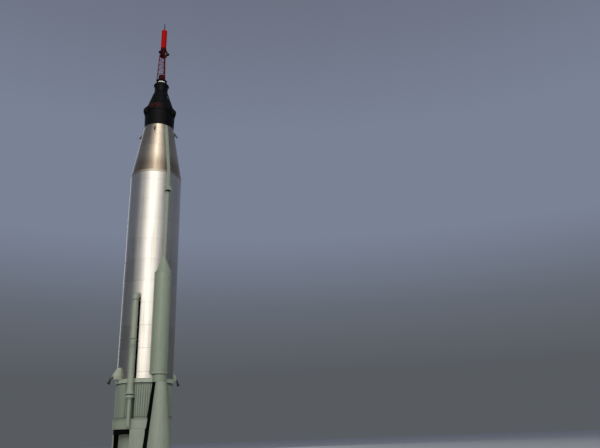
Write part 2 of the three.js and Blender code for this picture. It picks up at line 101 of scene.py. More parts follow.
def moved(obj, x=0, y=0, z=0, tilt=0, turn=0):  # tilted about Y, turned about Z, then shifted
    obj.location = (x, y, z)
    obj.rotation_euler = (0, radians(tilt), radians(turn))
    return settle(obj)


def stand(obj, angle):  # from +X round to its angle on the vehicle
    return moved(obj, turn=angle - 90)


def turnedAbout(obj, at, angle):  # about an upright axis at x = at
    way = radians(angle)
    return moved(obj, x=at - at * cos(way), y=-at * sin(way), turn=angle)


def copied(obj):
    pick(obj)
    bpy.ops.object.duplicate()
    return settle(bpy.context.object)


def removed(obj):
    pick(obj)
    bpy.ops.object.delete()


def joined(*objects):
    pick(*objects)
    if len(objects) > 1:
        bpy.ops.object.join()
    return objects[0]


def applied(obj, kind, **settings):  # adds a modifier and applies it
    pick(obj)
    bpy.ops.object.modifier_add(type=kind)
    modifier = obj.modifiers[-1]
    for key, value in settings.items():
        setattr(modifier, key, value)
    bpy.ops.object.modifier_apply(modifier=modifier.name)
    return obj


def softened(obj, width, segments=2, angle=30):
    turn = radians(angle)
    return applied(obj, "BEVEL", width=width, segments=segments, limit_method="ANGLE", angle_limit=turn)


def coated(finish, *objects):
    obj = joined(*objects)
    obj.data.materials.clear()
    obj.data.materials.append(finish)
    return obj


def around(obj, count, step=None):  # copies it round the vehicle's axis, all in one mesh
    deselect()
    bpy.ops.object.empty_add(rotation=(0, 0, radians(step or 360 / count)))
    hub = bpy.context.object
    applied(obj, "ARRAY", count=count, use_relative_offset=False, use_object_offset=True, offset_object=hub)
    removed(hub)
    return obj


def stacked(obj, count, y=0, z=0):  # copies it in a straight row, all in one mesh
    return applied(obj, "ARRAY", count=count, use_relative_offset=False, use_constant_offset=True,
                   constant_offset_displace=(0, y, z))


def cutBy(obj, tool):
    applied(obj, "BOOLEAN", operation="DIFFERENCE", object=tool, solver="EXACT")
    removed(tool)
    return obj


def placed(obj, name, node=None, angle=90, body="airframe", smooth=32):  # the last step of a new piece
    obj.name = obj.data.name = name
    stand(obj, angle)
    bpy.ops.object.shade_smooth_by_angle(angle=radians(smooth))
    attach(obj, body)
    if node:
        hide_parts(node)


# Outlines, as (radius, height) points

def profile(radius, height, *steps):  # points measured from a radius and a height
    return [(radius + out, height + up) for out, up in steps]


def ridge(radius, height, proud, half, foot):  # a raised band
    return profile(radius, height, (0, -foot), (proud, -half), (proud, half), (0, foot))


def arc(cx, cz, radius, start, end, count):  # for a rounded corner
    turns = [radians(start) + radians(end - start) / count * i for i in range(count + 1)]
    return [(cx + radius * cos(turn), cz + radius * sin(turn)) for turn in turns]


def oblong(inner, outer, low, high):
    return [(inner, low), (outer, low), (outer, high), (inner, high)]


def taper(lowRadius, low, highRadius, high):  # gives a cone's radius at a height
    return lambda height: lowRadius + (highRadius - lowRadius) * (height - low) / (high - low)


# Shaping

def chain(points):  # a line of vertices, left open in edit mode and selected all over
    obj = editAll(added(bpy.ops.mesh.primitive_plane_add, size=0.01))
    bpy.ops.mesh.select_mode(type="VERT")
    bpy.ops.mesh.merge(type="CENTER")
    bpy.ops.transform.translate(value=points[0])
    for here, there in zip(points, points[1:]):
        bpy.ops.mesh.extrude_vertices_move(TRANSFORM_OT_translate={"value": Vector(there) - Vector(here)})
    bpy.ops.mesh.select_all(action="SELECT")
    return obj


def cleaned(obj):
    bpy.ops.mesh.select_all(action="SELECT")
    bpy.ops.mesh.remove_doubles(threshold=1e-5)
    bpy.ops.mesh.normals_make_consistent(inside=False)
    bpy.ops.object.mode_set(mode="OBJECT")
    return obj


def spun(outline, steps=96, at=0):  # turns an outline about an upright axis at x = at
    obj = chain([(at + radius, 0, height) for radius, height in outline])
    bpy.ops.mesh.remove_doubles(threshold=1e-6)
    bpy.ops.mesh.select_all(action="SELECT")
    bpy.ops.mesh.spin(steps=steps, angle=radians(360), center=(at, 0, 0), axis=(0, 0, 1))
    return cleaned(obj)


def solid(outline, steps=96, at=0):  # a round body, its outline closed onto the axis at both ends
    return spun([(0, outline[0][1]), *outline, (0, outline[-1][1])], steps, at)


def drum(radius, low, high, steps=48, at=0, edge=0):  # a plain round body, edges cut if asked
    rim = [(radius - edge, low), (radius, low + edge), (radius, high - edge), (radius - edge, high)]
    return solid(rim, steps, at)


def patch(outline, span, steps=10, at=0, middle=0):  # fills an outline and turns it through a span
    start = radians(middle + span / 2)
    obj = chain([(at + radius * cos(start), radius * sin(start), height) for radius, height in outline])
    bpy.ops.mesh.edge_face_add()
    bpy.ops.mesh.spin(steps=steps, angle=radians(span), center=(at, 0, 0), axis=(0, 0, 1))
    return cleaned(obj)


def strip(inner, outer, low, high, span, steps=10, at=0, middle=0):
    return patch(oblong(inner, outer, low, high), span, steps, at, middle)


def door(radius, low, high, span, steps, at=0, middle=0, proud=0.005):
    return softened(strip(radius - 0.01, radius + proud, low, high, span, steps, at, middle), 0.0015, 1)


def raised(points, step):  # fills a flat outline of (x, y, z) points and pulls it along step
    obj = chain(points)
    bpy.ops.mesh.edge_face_add()
    bpy.ops.mesh.extrude_region_move(TRANSFORM_OT_translate={"value": step})
    return cleaned(obj)


def slab(outline, half, edge=0.006, segments=2, angle=30):  # half its width to each side
    obj = raised([(x, -half, z) for x, z in outline], (0, 2 * half, 0))
    return softened(obj, edge, segments, angle) if edge else obj


def bevelled(obj, offset, segments):
    editAll(obj)
    bpy.ops.mesh.bevel(offset=offset, segments=segments, affect="EDGES")
    bpy.ops.object.mode_set(mode="OBJECT")
    return obj


def block(low, high, edge=0.004):
    size = [b - a for a, b in zip(low, high)]
    middle = [(a + b) / 2 for a, b in zip(low, high)]
    return bevelled(added(bpy.ops.mesh.primitive_cube_add, size=1, location=middle, scale=size), edge, 2)


def rod(start, end, radius, endRadius=None, sides=12):
    start, end = Vector(start), Vector(end)
    turn = (end - start).to_track_quat("Z", "Y").to_euler()
    return added(bpy.ops.mesh.primitive_cone_add, vertices=sides, radius1=radius, radius2=endRadius or radius,
                 depth=(end - start).length, location=(start + end) / 2, rotation=turn)


def bolt(radius, height):  # a hexagon head on +Z, standing at the origin
    head = added(bpy.ops.mesh.primitive_cylinder_add, vertices=6, radius=radius, depth=height,
                 location=(0, 0, height / 2))
    return bevelled(head, radius * 0.12, 1)


def boltRing(count, reach, height, radius=0.008, tall=0.008, at=0):
    return moved(around(moved(bolt(radius, tall), x=reach, z=height), count), x=at)


def rivet(radius, x, y, z):  # a low dome that faces +X
    head = added(bpy.ops.mesh.primitive_uv_sphere_add, segments=8, ring_count=5, radius=radius,
                 scale=(0.45, 1, 1))
    return moved(head, x, y, z)


def rivetRing(count, reach, height, radius=0.006):
    return around(rivet(radius, reach, 0, height), count)


# Shader maths

def bothWays(operation):  # an operator and its reflected form
    return (lambda self, other: self.sum(operation, self, other),
            lambda self, other: self.sum(operation, other, self))


class Wire:  # a socket that sums can be written with
    def __init__(self, finish, socket):
        self.finish = finish
        self.socket = socket

    def sum(self, operation, first, second=0):
        return self.finish.node("ShaderNodeMath", {"operation": operation}, {0: first, 1: second})

    __add__, __radd__ = bothWays("ADD")
    __sub__, __rsub__ = bothWays("SUBTRACT")
    __mul__, __rmul__ = bothWays("MULTIPLY")
    __truediv__, __rtruediv__ = bothWays("DIVIDE")
    __mod__, __rmod__ = bothWays("FLOORED_MODULO")

    def __floor__(self):
        return self.sum("FLOOR", self)

    def __abs__(self):
        return self.sum("ABSOLUTE", self)

    def __neg__(self):
        return self.sum("MULTIPLY", self, -1)


class Finish:  # one material, built up node by node
    def __init__(self, name, roughness=0.5, metallic=0, **constants):
        self.material = bpy.data.materials.new(name)
        self.material.use_nodes = True
        self.tree = self.material.node_tree
        self.surface = self.tree.nodes["Principled BSDF"]
        for key, value in {"Roughness": roughness, "Metallic": metallic, **constants}.items():
            self.surface.inputs[key].default_value = value
        self.place = self.node("ShaderNodeTexCoord", out="Object")
        self.x = self.axis(0)
        self.y = self.axis(1)
        self.z = self.axis(2)

    def node(self, kind, settings=None, sockets=None, out=0):
        made = self.tree.nodes.new(kind)
        for key, value in (settings or {}).items():
            setattr(made, key, value)
        for key, value in (sockets or {}).items():
            self.feed(made.inputs[key], value)
        return Wire(self, made.outputs[out])

    def feed(self, socket, value):
        if isinstance(value, Wire):
            self.tree.links.new(value.socket, socket)
        else:
            socket.default_value = value

    def show(self, socket, value):
        self.feed(self.surface.inputs[socket], value)

    def axis(self, index):
        return self.node("ShaderNodeSeparateXYZ", {}, {0: self.place}, out=index)

    def noise(self, scale, detail=3, stretch=(1, 1, 1)):
        spread = self.node("ShaderNodeMapping", {}, {"Vector": self.place, "Scale": stretch})
        sockets = {"Vector": spread, "Scale": scale, "Detail": detail, "Roughness": 0.55}
        return self.node("ShaderNodeTexNoise", {}, sockets)

    def chance(self, value):  # one random shade for each whole number
        return self.node("ShaderNodeTexWhiteNoise", {"noise_dimensions": "1D"}, {"W": floor(value)})

    def fade(self, value, start, end):  # a smooth step from 0 at start to 1 at end
        sockets = {"Value": value, "From Min": start, "From Max": end, "To Min": 0, "To Max": 1}
        return self.node("ShaderNodeMapRange", {"interpolation_type": "SMOOTHSTEP"}, sockets)

    def blend(self, first, second, share, mode="MIX"):
        settings = {"data_type": "RGBA", "blend_type": mode}
        return self.node("ShaderNodeMix", settings, {0: share, 6: first, 7: second}, out=2)

    def lit(self, tint, brightness):  # a colour made lighter or darker by a value around 1
        grey = self.node("ShaderNodeCombineColor", {}, {0: brightness, 1: brightness, 2: brightness})
        return self.blend(tint, grey, 1, "MULTIPLY")

    def bump(self, height, strength, distance):
        sockets = {"Height": height, "Strength": strength, "Distance": distance}
        self.show("Normal", self.node("ShaderNodeBump", {}, sockets))


def tint(red, green, blue):  # a screen colour, 0 to 255, in the linear values that shaders take
    shares = [value / 255 for value in (red, green, blue)]
    return (*[s / 12.92 if s <= 0.04045 else ((s + 0.055) / 1.055) ** 2.4 for s in shares], 1)


# Finishes

sheetLook = {"strip": 1.25, "firstSeam": 5.0}  # the tank is welded from strips of this height


def steelFinish(name, clean, stain, rough, seamShade, foot=None):
    look = Finish(name, metallic=1)
    course = (look.z - sheetLook["firstSeam"]) / sheetLook["strip"]
    tone = look.chance(course)
    toSeam = abs((course + 0.5) % 1 - 0.5) * sheetLook["strip"]
    nearSeam = 1 - look.fade(toSeam, 0.012, 0.05)
    runs = look.noise(1, 4, (7, 7, 0.22))  # rain marks down the skin
    cloud = look.noise(0.9, 3, (1, 1, 0.6))
    rolled = look.noise(1, 2, (1.5, 1.5, 160))  # the fine lines of the rolled sheet
    shade = 0.86 + 0.1 * tone + 0.14 * cloud + 0.05 * rolled
    marked = look.blend(clean, stain, look.fade(runs, 0.52, 0.78) * 0.45)
    if foot:  # browned by heat towards the lower joint
        marked = look.blend(marked, stain, look.fade(look.z, foot["high"], foot["low"]) * foot["share"])
    look.show("Base Color", look.lit(look.blend(marked, stain, nearSeam * seamShade), shade))
    look.show("Roughness", rough + 0.08 * look.noise(3) + 0.05 * tone + 0.05 * rolled)
    dents = look.noise(0.75, 2, (1, 1, 0.9))
    look.bump(dents + 0.012 * rolled, 0.16, 0.05)
    return look.material


def paintFinish(name, clean, dirt, rough=0.5, wear=0.3, coat=0, specular=0.5):
    look = Finish(name, **{"Coat Weight": coat, "Specular IOR Level": specular})
    patches = look.noise(0.8)
    mottle = look.noise(9, 4)
    runs = look.noise(1, 4, (9, 9, 0.35))
    grime = look.fade(runs * 0.6 + mottle * 0.4, 0.5, 0.72) * wear
    specks = look.fade(look.noise(55, 2), 0.66, 0.74) * wear * 0.5
    shade = 0.84 + 0.2 * patches + 0.12 * mottle
    dirty = look.blend(clean, dirt, grime)
    look.show("Base Color", look.lit(look.blend(dirty, dirt, specks), shade))
    look.show("Roughness", rough - 0.08 + 0.18 * mottle + 0.12 * grime)
    look.bump(0.6 * look.noise(140, 2) + 0.8 * look.noise(4, 2), 0.12, 0.012)
    return look.material


def engineFinish(name, clean, heat, rough, metallic=1):
    look = Finish(name, metallic=metallic)
    cloud = look.noise(3.5, 4)
    soot = look.fade(look.noise(1, 4, (12, 12, 1.6)), 0.45, 0.75)
    look.show("Base Color", look.lit(look.blend(clean, heat, soot), 0.7 + 0.5 * cloud))
    look.show("Roughness", rough + 0.22 * soot)
    look.bump(look.noise(60), 0.15, 0.004)
    return look.material


# A dull red belt over part of the capsule's way round; softHeight and softTurn fade its edges
beltLook = {"low": 21.56, "high": 21.90, "softHeight": 0.06, "from": -100, "to": -26, "softTurn": 7}


def shingleFinish(name, clean, heat, panels):  # near black, each shingle in its own tone
    look = Finish(name, **{"Specular IOR Level": 0.09})
    way = look.x.sum("ARCTAN2", look.x, -look.y)  # from the front
    tone = look.chance(way * (panels / (2 * pi)))
    low, high, soft = values(beltLook, "low", "high", "softHeight")
    start, end, edge = (radians(turn) for turn in values(beltLook, "from", "to", "softTurn"))
    upright = look.fade(look.z, low - soft, low) * look.fade(look.z, high + soft, high)
    across = look.fade(way, start - edge, start) * look.fade(way, end + edge, end)
    smoke = look.noise(6, 4, (1, 1, 0.4))
    marked = look.blend(clean, heat, upright * across * (0.65 + 0.4 * smoke))
    look.show("Base Color", look.lit(marked, 0.6 + 0.5 * tone + 0.4 * smoke))
    look.show("Roughness", 0.34 + 0.2 * smoke)
    look.bump(look.noise(90), 0.12, 0.004)
    return look.material


print("finishes")
steel = steelFinish("rolledSteel", tint(186, 181, 171), tint(124, 106, 84), 0.2, 0.12)
coneSteel = steelFinish("coneSteel", tint(172, 160, 142), tint(112, 94, 74), 0.2, 0.12,
                        foot={"low": 17.3, "high": 18.3, "share": 0.6})
jointSteel = steelFinish("jointSteel", tint(156, 146, 130), tint(104, 88, 70), 0.3, 0.1)
# painted shade: a darker green for the skirt's valleys between its ribs, where shade falls
valleyShadeGreen = paintFinish("valleyShadeGreenPaint", tint(112, 120, 106), tint(78, 84, 72), 0.6, 0.4, specular=0.3)
greyGreen = paintFinish("greyGreenPaint", tint(130, 140, 121), tint(92, 98, 82), 0.46, 0.35, coat=0.06)
paleGreen = paintFinish("paleGreenPaint", tint(141, 148, 130), tint(104, 108, 90), 0.5, 0.35)
# painted shadow: the dark green of the shadow the feed pipe casts on the skirt
castShadowGreen = paintFinish("castShadowGreenPaint", tint(56, 61, 50), tint(34, 36, 29), 0.65, 0.4, specular=0.1)
lightGreen = paintFinish("lightGreenPaint", tint(163, 170, 150), tint(120, 124, 104), 0.5, 0.35)
blackPaint = paintFinish("blackPaint", tint(8, 8, 8), tint(20, 18, 17), 0.42, 0.3, specular=0.07)
mattBlack = paintFinish("mattBlack", tint(6, 6, 6), tint(16, 14, 13), 0.75, 0.4, specular=0.04)
redPaint = paintFinish("redPaint", tint(152, 8, 5), tint(110, 8, 6), 0.6, 0.3, specular=0.06)
# a maroon paint, darkened further as a painted shade for the backlit tower truss
maroonWithShade = paintFinish("maroonWithShadePaint", tint(86, 12, 18), tint(40, 10, 12), 0.55, 0.4, specular=0.1)
deepRed = paintFinish("deepRedPaint", tint(50, 5, 8), tint(24, 6, 8), 0.55, 0.4, specular=0.06)
white = paintFinish("whitePaint", tint(222, 220, 212), tint(150, 144, 130), 0.45, 0.3)
engineMetal = engineFinish("engineMetal", tint(142, 136, 128), tint(70, 60, 52), 0.3)
darkMetal = engineFinish("darkMetal", tint(56, 52, 50), tint(26, 24, 22), 0.42, 0.8)
boltSteel = engineFinish("boltSteel", tint(168, 166, 160), tint(96, 88, 78), 0.34)
shingles = shingleFinish("shingles", tint(9, 9, 10), tint(52, 17, 14), 14)
windowGlass = paintFinish("windowGlass", tint(8, 9, 12), tint(18, 20, 24), 0.12, 0.1, coat=0.6)


# Tank

skin = girth("tank_cylinder")  # the tank's radius, which the fittings on it start from
tankCuts = {"seams": 10, "bead": 0.0016, "beadHalf": 0.012, "smooth": 6}
coneCuts = {"topRadius": 0.925, "seams": [0.27, 0.52, 0.76]}


def weldedSkin(radiusAt, low, high, seams):
    half = tankCuts["beadHalf"]
    outline = [(radiusAt(low), low)]
    for seam in seams:
        outline += [(radiusAt(seam - half), seam - half), (radiusAt(seam) + tankCuts["bead"], seam),
                    (radiusAt(seam + half), seam + half)]
    return solid([*outline, (radiusAt(high), high)], tankSteps)


def tankSkin():
    low, high = ends("tank_cylinder")
    seams = [sheetLook["firstSeam"] + sheetLook["strip"] * i for i in range(tankCuts["seams"])]
    body = coated(steel, weldedSkin(taper(skin, low, skin, high), low, high, seams))
    placed(body, "tankSkin", "tank_cylinder", smooth=tankCuts["smooth"])  # the seams stay sharp
    band = profile(skin, high, (-0.01, -0.15), (0.004, -0.145), (0.004, -0.004), (-0.01, 0.001))
    placed(coated(jointSteel, spun(band, tankSteps)), "tankJointBand")


def tankConeSkin():
    low, high = ends("tank_cone")
    radiusAt = taper(girth("tank_cone"), low, coneCuts["topRadius"], high)
    seams = [low + (high - low) * share for share in coneCuts["seams"]]
    body = coated(coneSteel, weldedSkin(radiusAt, low, high, seams))
    placed(body, "coneSkin", "tank_cone", smooth=tankCuts["smooth"])


endRingCuts = {"lip": 0.028, "web": 0.018, "gussets": 72, "bolts": 72}


def endRing():
    low, high = ends("tank_end_ring")
    inner, outer = skin - 0.004, girth("tank_end_ring")
    lip, web = endRingCuts["lip"], outer - endRingCuts["web"]
    body = softened(spun([
        (inner, low), (outer, low), (outer, low + lip), (web, low + lip + 0.004), (web, high - lip - 0.004),
        (outer, high - lip), (outer, high), (inner, high), (inner, low)], tankSteps), 0.003, 1)
    gusset = block((web - 0.004, -0.006, low + lip - 0.002),
                   (outer - 0.003, 0.006, high - lip + 0.002), 0.002)
    around(gusset, endRingCuts["gussets"])
    heads = boltRing(endRingCuts["bolts"], outer - 0.012, high, 0.011)
    placed(coated(lightGreen, body, gusset, heads), "endRingBody", "tank_end_ring")


# Booster section

skirtCuts = {"ribs": 80, "ribHalf": 0.037, "depth": 0.038, "sill": 0.075, "slope": 0.045, "rivets": 144,
             "plainFrom": -105, "plainTo": -68, "plainLow": 2.70, "plainHigh": 4.36, "plainScrews": 12}
bandCuts = {"lip": 0.025, "doors": 10, "doorSpan": 17, "doorHigh": 0.30, "proud": 0.004, "rivets": 144,
            "bolts": 96}


def boostSkirt():
    low, high = ends("boost_skirt")
    outer = girth("boost_skirt")
    core = outer - skirtCuts["depth"]
    sill, slope, half = values(skirtCuts, "sill", "slope", "ribHalf")
    # the skirt's core between the ribs takes the darker green, a painted shade in the valleys
    body = coated(valleyShadeGreen, solid([
        (outer, low), (outer, low + sill), (core, low + sill + 0.004), (core, high - sill - 0.004),
        (outer, high - sill), (outer, high - 0.035), (core, high - 0.034), (core, high)], tankSteps))
    shadow = profile(core, high, (-0.01, -0.034), (0.001, -0.034), (0.001, 0), (-0.01, 0))
    shadow = coated(mattBlack, spun(shadow, tankSteps))
    rib = slab([
        (core - 0.003, low + sill + 0.01), (outer, low + sill + slope), (outer, high - sill - slope),
        (core - 0.003, high - sill - 0.01)], half, 0.008, 2, 20)
    around(rib, skirtCuts["ribs"])
    start, end, bottom, top = values(skirtCuts, "plainFrom", "plainTo", "plainLow", "plainHigh")
    span, middle, screws = end - start, (start + end) / 2 - 90, skirtCuts["plainScrews"]
    plain = softened(strip(core, outer + 0.003, bottom, top, span, 24, middle=middle), 0.002, 1)
    heads = []
    for height in (bottom + 0.05, top - 0.05):
        head = moved(rivet(0.007, outer + 0.003, 0, height), turn=middle - span / 2 + 1.5)
        heads.append(around(head, screws, (span - 3) / (screws - 1)))
    for height in (low + 0.035, high - 0.055):
        heads.append(rivetRing(skirtCuts["rivets"], outer - 0.001, height))
    body = joined(coated(greyGreen, rib, plain, *heads), body, shadow)
    placed(body, "boostSkirtBody", "boost_skirt")


def boostBand():
    low, high = ends("boost_band")
    lip = girth("boost_band")
    outer = lip - bandCuts["lip"]
    body = solid([
        (outer - 0.012, low), (outer, low + 0.012), (outer, high - 0.045),
        *profile(lip, high, (-0.003, -0.035), (0, -0.031), (0, -0.004), (-0.004, 0))], tankSteps)
    doors, span, half, proud = values(bandCuts, "doors", "doorSpan", "doorHigh", "proud")
    middle, half = (low + high) / 2 - 0.01, half / 2
    hatch = around(door(outer, middle - half, middle + half, span, 8, proud=proud), doors)
    joint = strip(outer - 0.01, outer + proud + 0.001, low + 0.02, high - 0.05, 1.6, 2, middle=18)
    around(joint, doors)
    screws = stacked(rivet(0.007, outer + proud, 0, middle - half + 0.03), 3, z=half - 0.03)
    columns = ((screws, -8), (copied(screws), 8))
    heads = [around(moved(column, turn=angle), doors) for column, angle in columns]
    heads += [rivetRing(bandCuts["rivets"], outer + 0.003, height)
              for height in (low + 0.04, high - 0.06)]
    bolts = boltRing(bandCuts["bolts"], lip - 0.014, high, 0.011)
    placed(coated(paleGreen, body, hatch, joint, bolts, *heads), "boostBandBody", "boost_band")


shieldCuts = {"lobeAt": 1.8, "lobe": 0.46, "chamfer": 0.012, "engines": [-1.65, 0, 1.65], "bolts": 24,
              "seams": [-0.82, 0.82], "seamReach": 1.28, "seamHalf": 0.012}


def shieldOutline(height, grow=0):  # the round shield with a lobe under each nacelle, as flat points
    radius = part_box("heat_shield")[1].x + grow
    at, lobe = shieldCuts["lobeAt"], shieldCuts["lobe"] + grow
    neck = degrees(asin(lobe / radius))
    points = [*arc(0, 0, radius, -90 + neck, 90 - neck, 40), *arc(0, at, lobe, 0, 180, 20),
              *arc(0, 0, radius, 90 + neck, 270 - neck, 40), *arc(0, -at, lobe, 180, 360, 20)]
    return [(x, y, height) for x, y in points]


def heatShield():
    low, high = ends("heat_shield")
    chamfer = shieldCuts["chamfer"]
    body = raised(shieldOutline(low + chamfer), (0, 0, high - low - chamfer))
    lower = raised(shieldOutline(low, -0.05), (0, 0, 0.03))
    parts = [softened(body, chamfer, 2, 50), softened(lower, 0.004, 1, 50)]
    collar = profile(0, low, (0.30, 0.02), (0.34, 0.02), (0.355, -0.001), (0.345, -0.012), (0.315, -0.012),
                     (0.30, 0.02))
    for y in shieldCuts["engines"]:  # a raised collar round each engine's head
        heads = boltRing(shieldCuts["bolts"], 0.38, low - 0.005, 0.009, 0.006)
        parts += [moved(spun(collar, 48), y=y), moved(heads, y=y)]
    reach, half = values(shieldCuts, "seamReach", "seamHalf")
    for y in shieldCuts["seams"]:
        parts.append(block((-reach, y - half, low - 0.004), (reach, y + half, low + 0.01), 0.002))
    placed(coated(mattBlack, *parts), "heatShieldBody", "heat_shield")


bayCuts = {"outer": 1.575, "inner": 1.5003, "panel": 0.90, "thick": 0.03, "from": 22.5, "to": 50.625,
           "seams": [1.2, 1.66], "ribs": 6, "ribFrom": -0.75, "ribEvery": 0.3, "ribHalf": 0.018,
           "doorLow": 1.12, "doorHigh": 1.62, "doorFrom": -0.40, "doorTo": 0.10, "hinges": 2,
           "hingeEvery": 0.28, "screws": 12, "screwEvery": 0.08, "screwReach": 0.86}


def bayWall(side, angle):
    bottom, roof = ends(f"bay_wall_{side}")[0], ends("heat_shield")[0] - clearance
    top = ends("boost_band")[0] - 2 * clearance
    outer, inner, panel, thick, start, end = values(bayCuts, "outer", "inner", "panel", "thick", "from", "to")
    cornerX, endY = outer * sin(radians(end)), outer * cos(radians(end))
    cornerY = inner * cos(radians(end))
    parts = []
    for sign in (1, -1):
        def curved(near, far, low, high):
            return strip(near, far, low, high, end - start, 16, middle=sign * (90 - (start + end) / 2))

        wall = [softened(curved(inner, outer, bottom, top), 0.003, 1),
                softened(curved(inner - 0.02, outer + 0.006, bottom, bottom + 0.035), 0.003, 1)]
        for height in bayCuts["seams"]:
            wall.append(curved(outer - 0.005, outer + 0.003, height, height + 0.03))
        web = [(panel - thick, cornerY), (panel, cornerY - thick), (cornerX, endY),
               (cornerX - 0.03, endY + 0.022)]
        web = raised([(x, sign * y, bottom) for x, y in web], (0, 0, roof - bottom))
        # the webs at the ends of the recess are matt black, a painted shade on these walls facing into the
        # recess
        parts += [coated(paleGreen, *wall), coated(mattBlack, web)]
    wide = cornerY - 0.001
    flat = block((panel - thick, -wide, bottom), (panel, wide, roof), 0.003)
    sill = block((panel - thick - 0.03, -wide, bottom), (panel + 0.012, wide - 0.04, bottom + 0.04))
    ribs, first, pitch, half = values(bayCuts, "ribs", "ribFrom", "ribEvery", "ribHalf")
    rib = block((panel - 0.004, first - half, bottom + 0.04), (panel + 0.010, first + half, roof - 0.02))
    stacked(rib, ribs, y=pitch)
    low, high, near, far = values(bayCuts, "doorLow", "doorHigh", "doorFrom", "doorTo")
    front, edge = panel + 0.014, near - 0.005
    hatch = block((panel - 0.004, near, low), (front, far, high), 0.006)
    hinge = rod((front, edge, low + 0.08), (front, edge, low + 0.15), 0.009)
    stacked(hinge, bayCuts["hinges"], z=bayCuts["hingeEvery"])
    screws, pitch, reach = values(bayCuts, "screws", "screwEvery", "screwReach")
    heads = stacked(rivet(0.006, panel + 0.001, -reach, bottom + 0.1), screws, z=pitch)
    stacked(heads, 2, y=2 * reach)
    # the flat face takes the lighter green, a painted light that lifts it out of the shade under the heat
    # shield
    face = coated(lightGreen, flat, sill, rib, hatch, hinge, heads)
    placed(joined(face, *parts), f"bayWall{side.title()}", f"bay_wall_{side}", angle)


# Nacelles and pods

nacelleCuts = {"at": 1.8, "foot": 0.657, "top": 0.30, "wall": 0.03, "seams": [1.45, 2.64, 3.55],
               "doors": [(1.66, 2.36, -18, 56), (2.86, 3.30, 26, 46), (3.72, 3.94, -30, 30)]}


def nacelle(side, angle):
    low, high = ends(f"nacelle_{side}")
    roof = ends("heat_shield")[1] + clearance
    at, wall = values(nacelleCuts, "at", "wall")
    radiusAt = taper(nacelleCuts["foot"], low, nacelleCuts["top"], high)

    def ribbon(bottom, top, proud, span, middle=0, steps=24):
        outline = [*profile(radiusAt(bottom), bottom, (-0.008, 0), (proud, 0)),
                   *profile(radiusAt(top), top, (proud, 0), (-0.008, 0))]
        return softened(patch(outline, span, steps, at, middle), 0.0012, 1)

    parts = [patch([
        (0, high), (radiusAt(high) - 0.02, high), (radiusAt(high - 0.02), high - 0.02), (radiusAt(low), low),
        (radiusAt(low) - wall, low), (radiusAt(roof) - wall, roof), (0, roof)], 180, 48, at)]
    parts += [ribbon(seam - 0.02, seam + 0.02, 0.003, 178) for seam in nacelleCuts["seams"]]
    parts.append(ribbon(low, low + 0.05, 0.008, 179))
    parts.append(ribbon(high - 0.09, high - 0.02, 0.006, 179))
    parts += [ribbon(low + 0.05, high - 0.09, 0.004, 7, middle, 3) for middle in (-84, 84)]
    for bottom, top, middle, span in nacelleCuts["doors"]:
        parts.append(ribbon(bottom, top, 0.005, span, middle, 16))
        for height in (bottom + 0.04, top - 0.04):
            reach = radiusAt(height) + 0.005
            for way in (radians(middle - 0.43 * span), radians(middle + 0.43 * span)):
                parts.append(rivet(0.008, at + reach * cos(way), reach * sin(way), height))
    placed(coated(paleGreen, *parts), f"nacelle{side.title()}", f"nacelle_{side}", angle)


podCuts = {"at": 1.5, "radius": 0.47, "shoulder": 10.5, "tip": 0.03, "lip": 0.10,
           "seams": [5.7, 7.25, 8.8, 10.0], "doors": [(5.95, 7.05, 52), (7.5, 8.55, 52), (9.05, 9.8, 44)],
           "jointTurn": 34, "latchTurn": 16, "flangeTurn": 18.7, "screws": 37, "screwEvery": 0.15}
footCuts = {"at": 1.62, "radius": 0.37, "groove": 0.035, "grooveDeep": 0.03}


def pod(side, angle):
    low, high = ends(f"pod_{side}")
    at, radius, shoulder, tip, lip = values(podCuts, "at", "radius", "shoulder", "tip", "lip")
    outline = [(radius - 0.01, low), (radius, low + 0.012)]
    for seam in podCuts["seams"]:
        outline += ridge(radius, seam, 0.0035, 0.013, 0.016)
    outline += profile(radius, shoulder, (0, -0.05), (0.006, -0.045), (0.006, -0.01), (-0.004, 0.004))
    parts = [solid([*outline, (tip + 0.02, high - 0.05), (tip, high)], 96, at)]
    for sign in (-1, 1):  # joints down the pod's length
        middle = sign * podCuts["jointTurn"]
        parts.append(strip(radius - 0.01, radius + 0.004, low + 0.1, shoulder - 0.05, 3.4, 2, at, middle))
    for bottom, top, span in podCuts["doors"]:
        parts.append(door(radius, bottom, top, span, 12, at))
        latch = block((at + radius, -0.012, bottom + 0.03), (at + radius + 0.011, 0.012, bottom + 0.10),
                      0.003)
        parts += [latch, *[turnedAbout(copied(latch), at, sign * podCuts["latchTurn"]) for sign in (-1, 1)]]
    for sign in (1, -1):  # flanges that fasten the pod to the tank
        turn, face = sign * podCuts["flangeTurn"], skin + 0.007
        flange = strip(skin - 0.004, face, low + 0.02, shoulder, 1.9, 2, middle=turn)
        way = radians(turn + sign * 0.4)
        head = rivet(0.008, face * cos(way), face * sin(way), low + 0.1)
        parts += [flange, stacked(head, podCuts["screws"], z=podCuts["screwEvery"])]
    hem = profile(radius, low, (-0.01, 0.001), (0.006, 0.006), (0.006, lip), (-0.01, lip + 0.006))
    body = joined(coated(greyGreen, *parts), coated(paleGreen, spun(hem, 96, at)))
    placed(body, f"pod{side.title()}", f"pod_{side}", angle)


def podFoot(side, angle):
    low, high = ends(f"pod_foot_{side}")
    at, radius, groove = values(footCuts, "at", "radius", "groove")
    top = high - groove
    shell = solid([
        *profile(radius, low, (0.004, 0), (0.004, 0.04), (0, 0.044)),
        *profile(radius, top, (0, -0.05), (0.006, -0.046), (0.006, -0.006), (0, 0))], 80, at)
    hatch = door(radius, low + 0.09, high - 0.12, 40, 10, at, -20)
    # the groove under the pod is matt black, a painted shadow under the pod's bottom edge
    neck = drum(radius - footCuts["grooveDeep"], top, high, 80, at)
    body = joined(coated(greyGreen, shell, hatch), coated(mattBlack, neck))
    placed(body, f"podFoot{side.title()}", f"pod_foot_{side}", angle)


# Cable raceways and the valve fairing

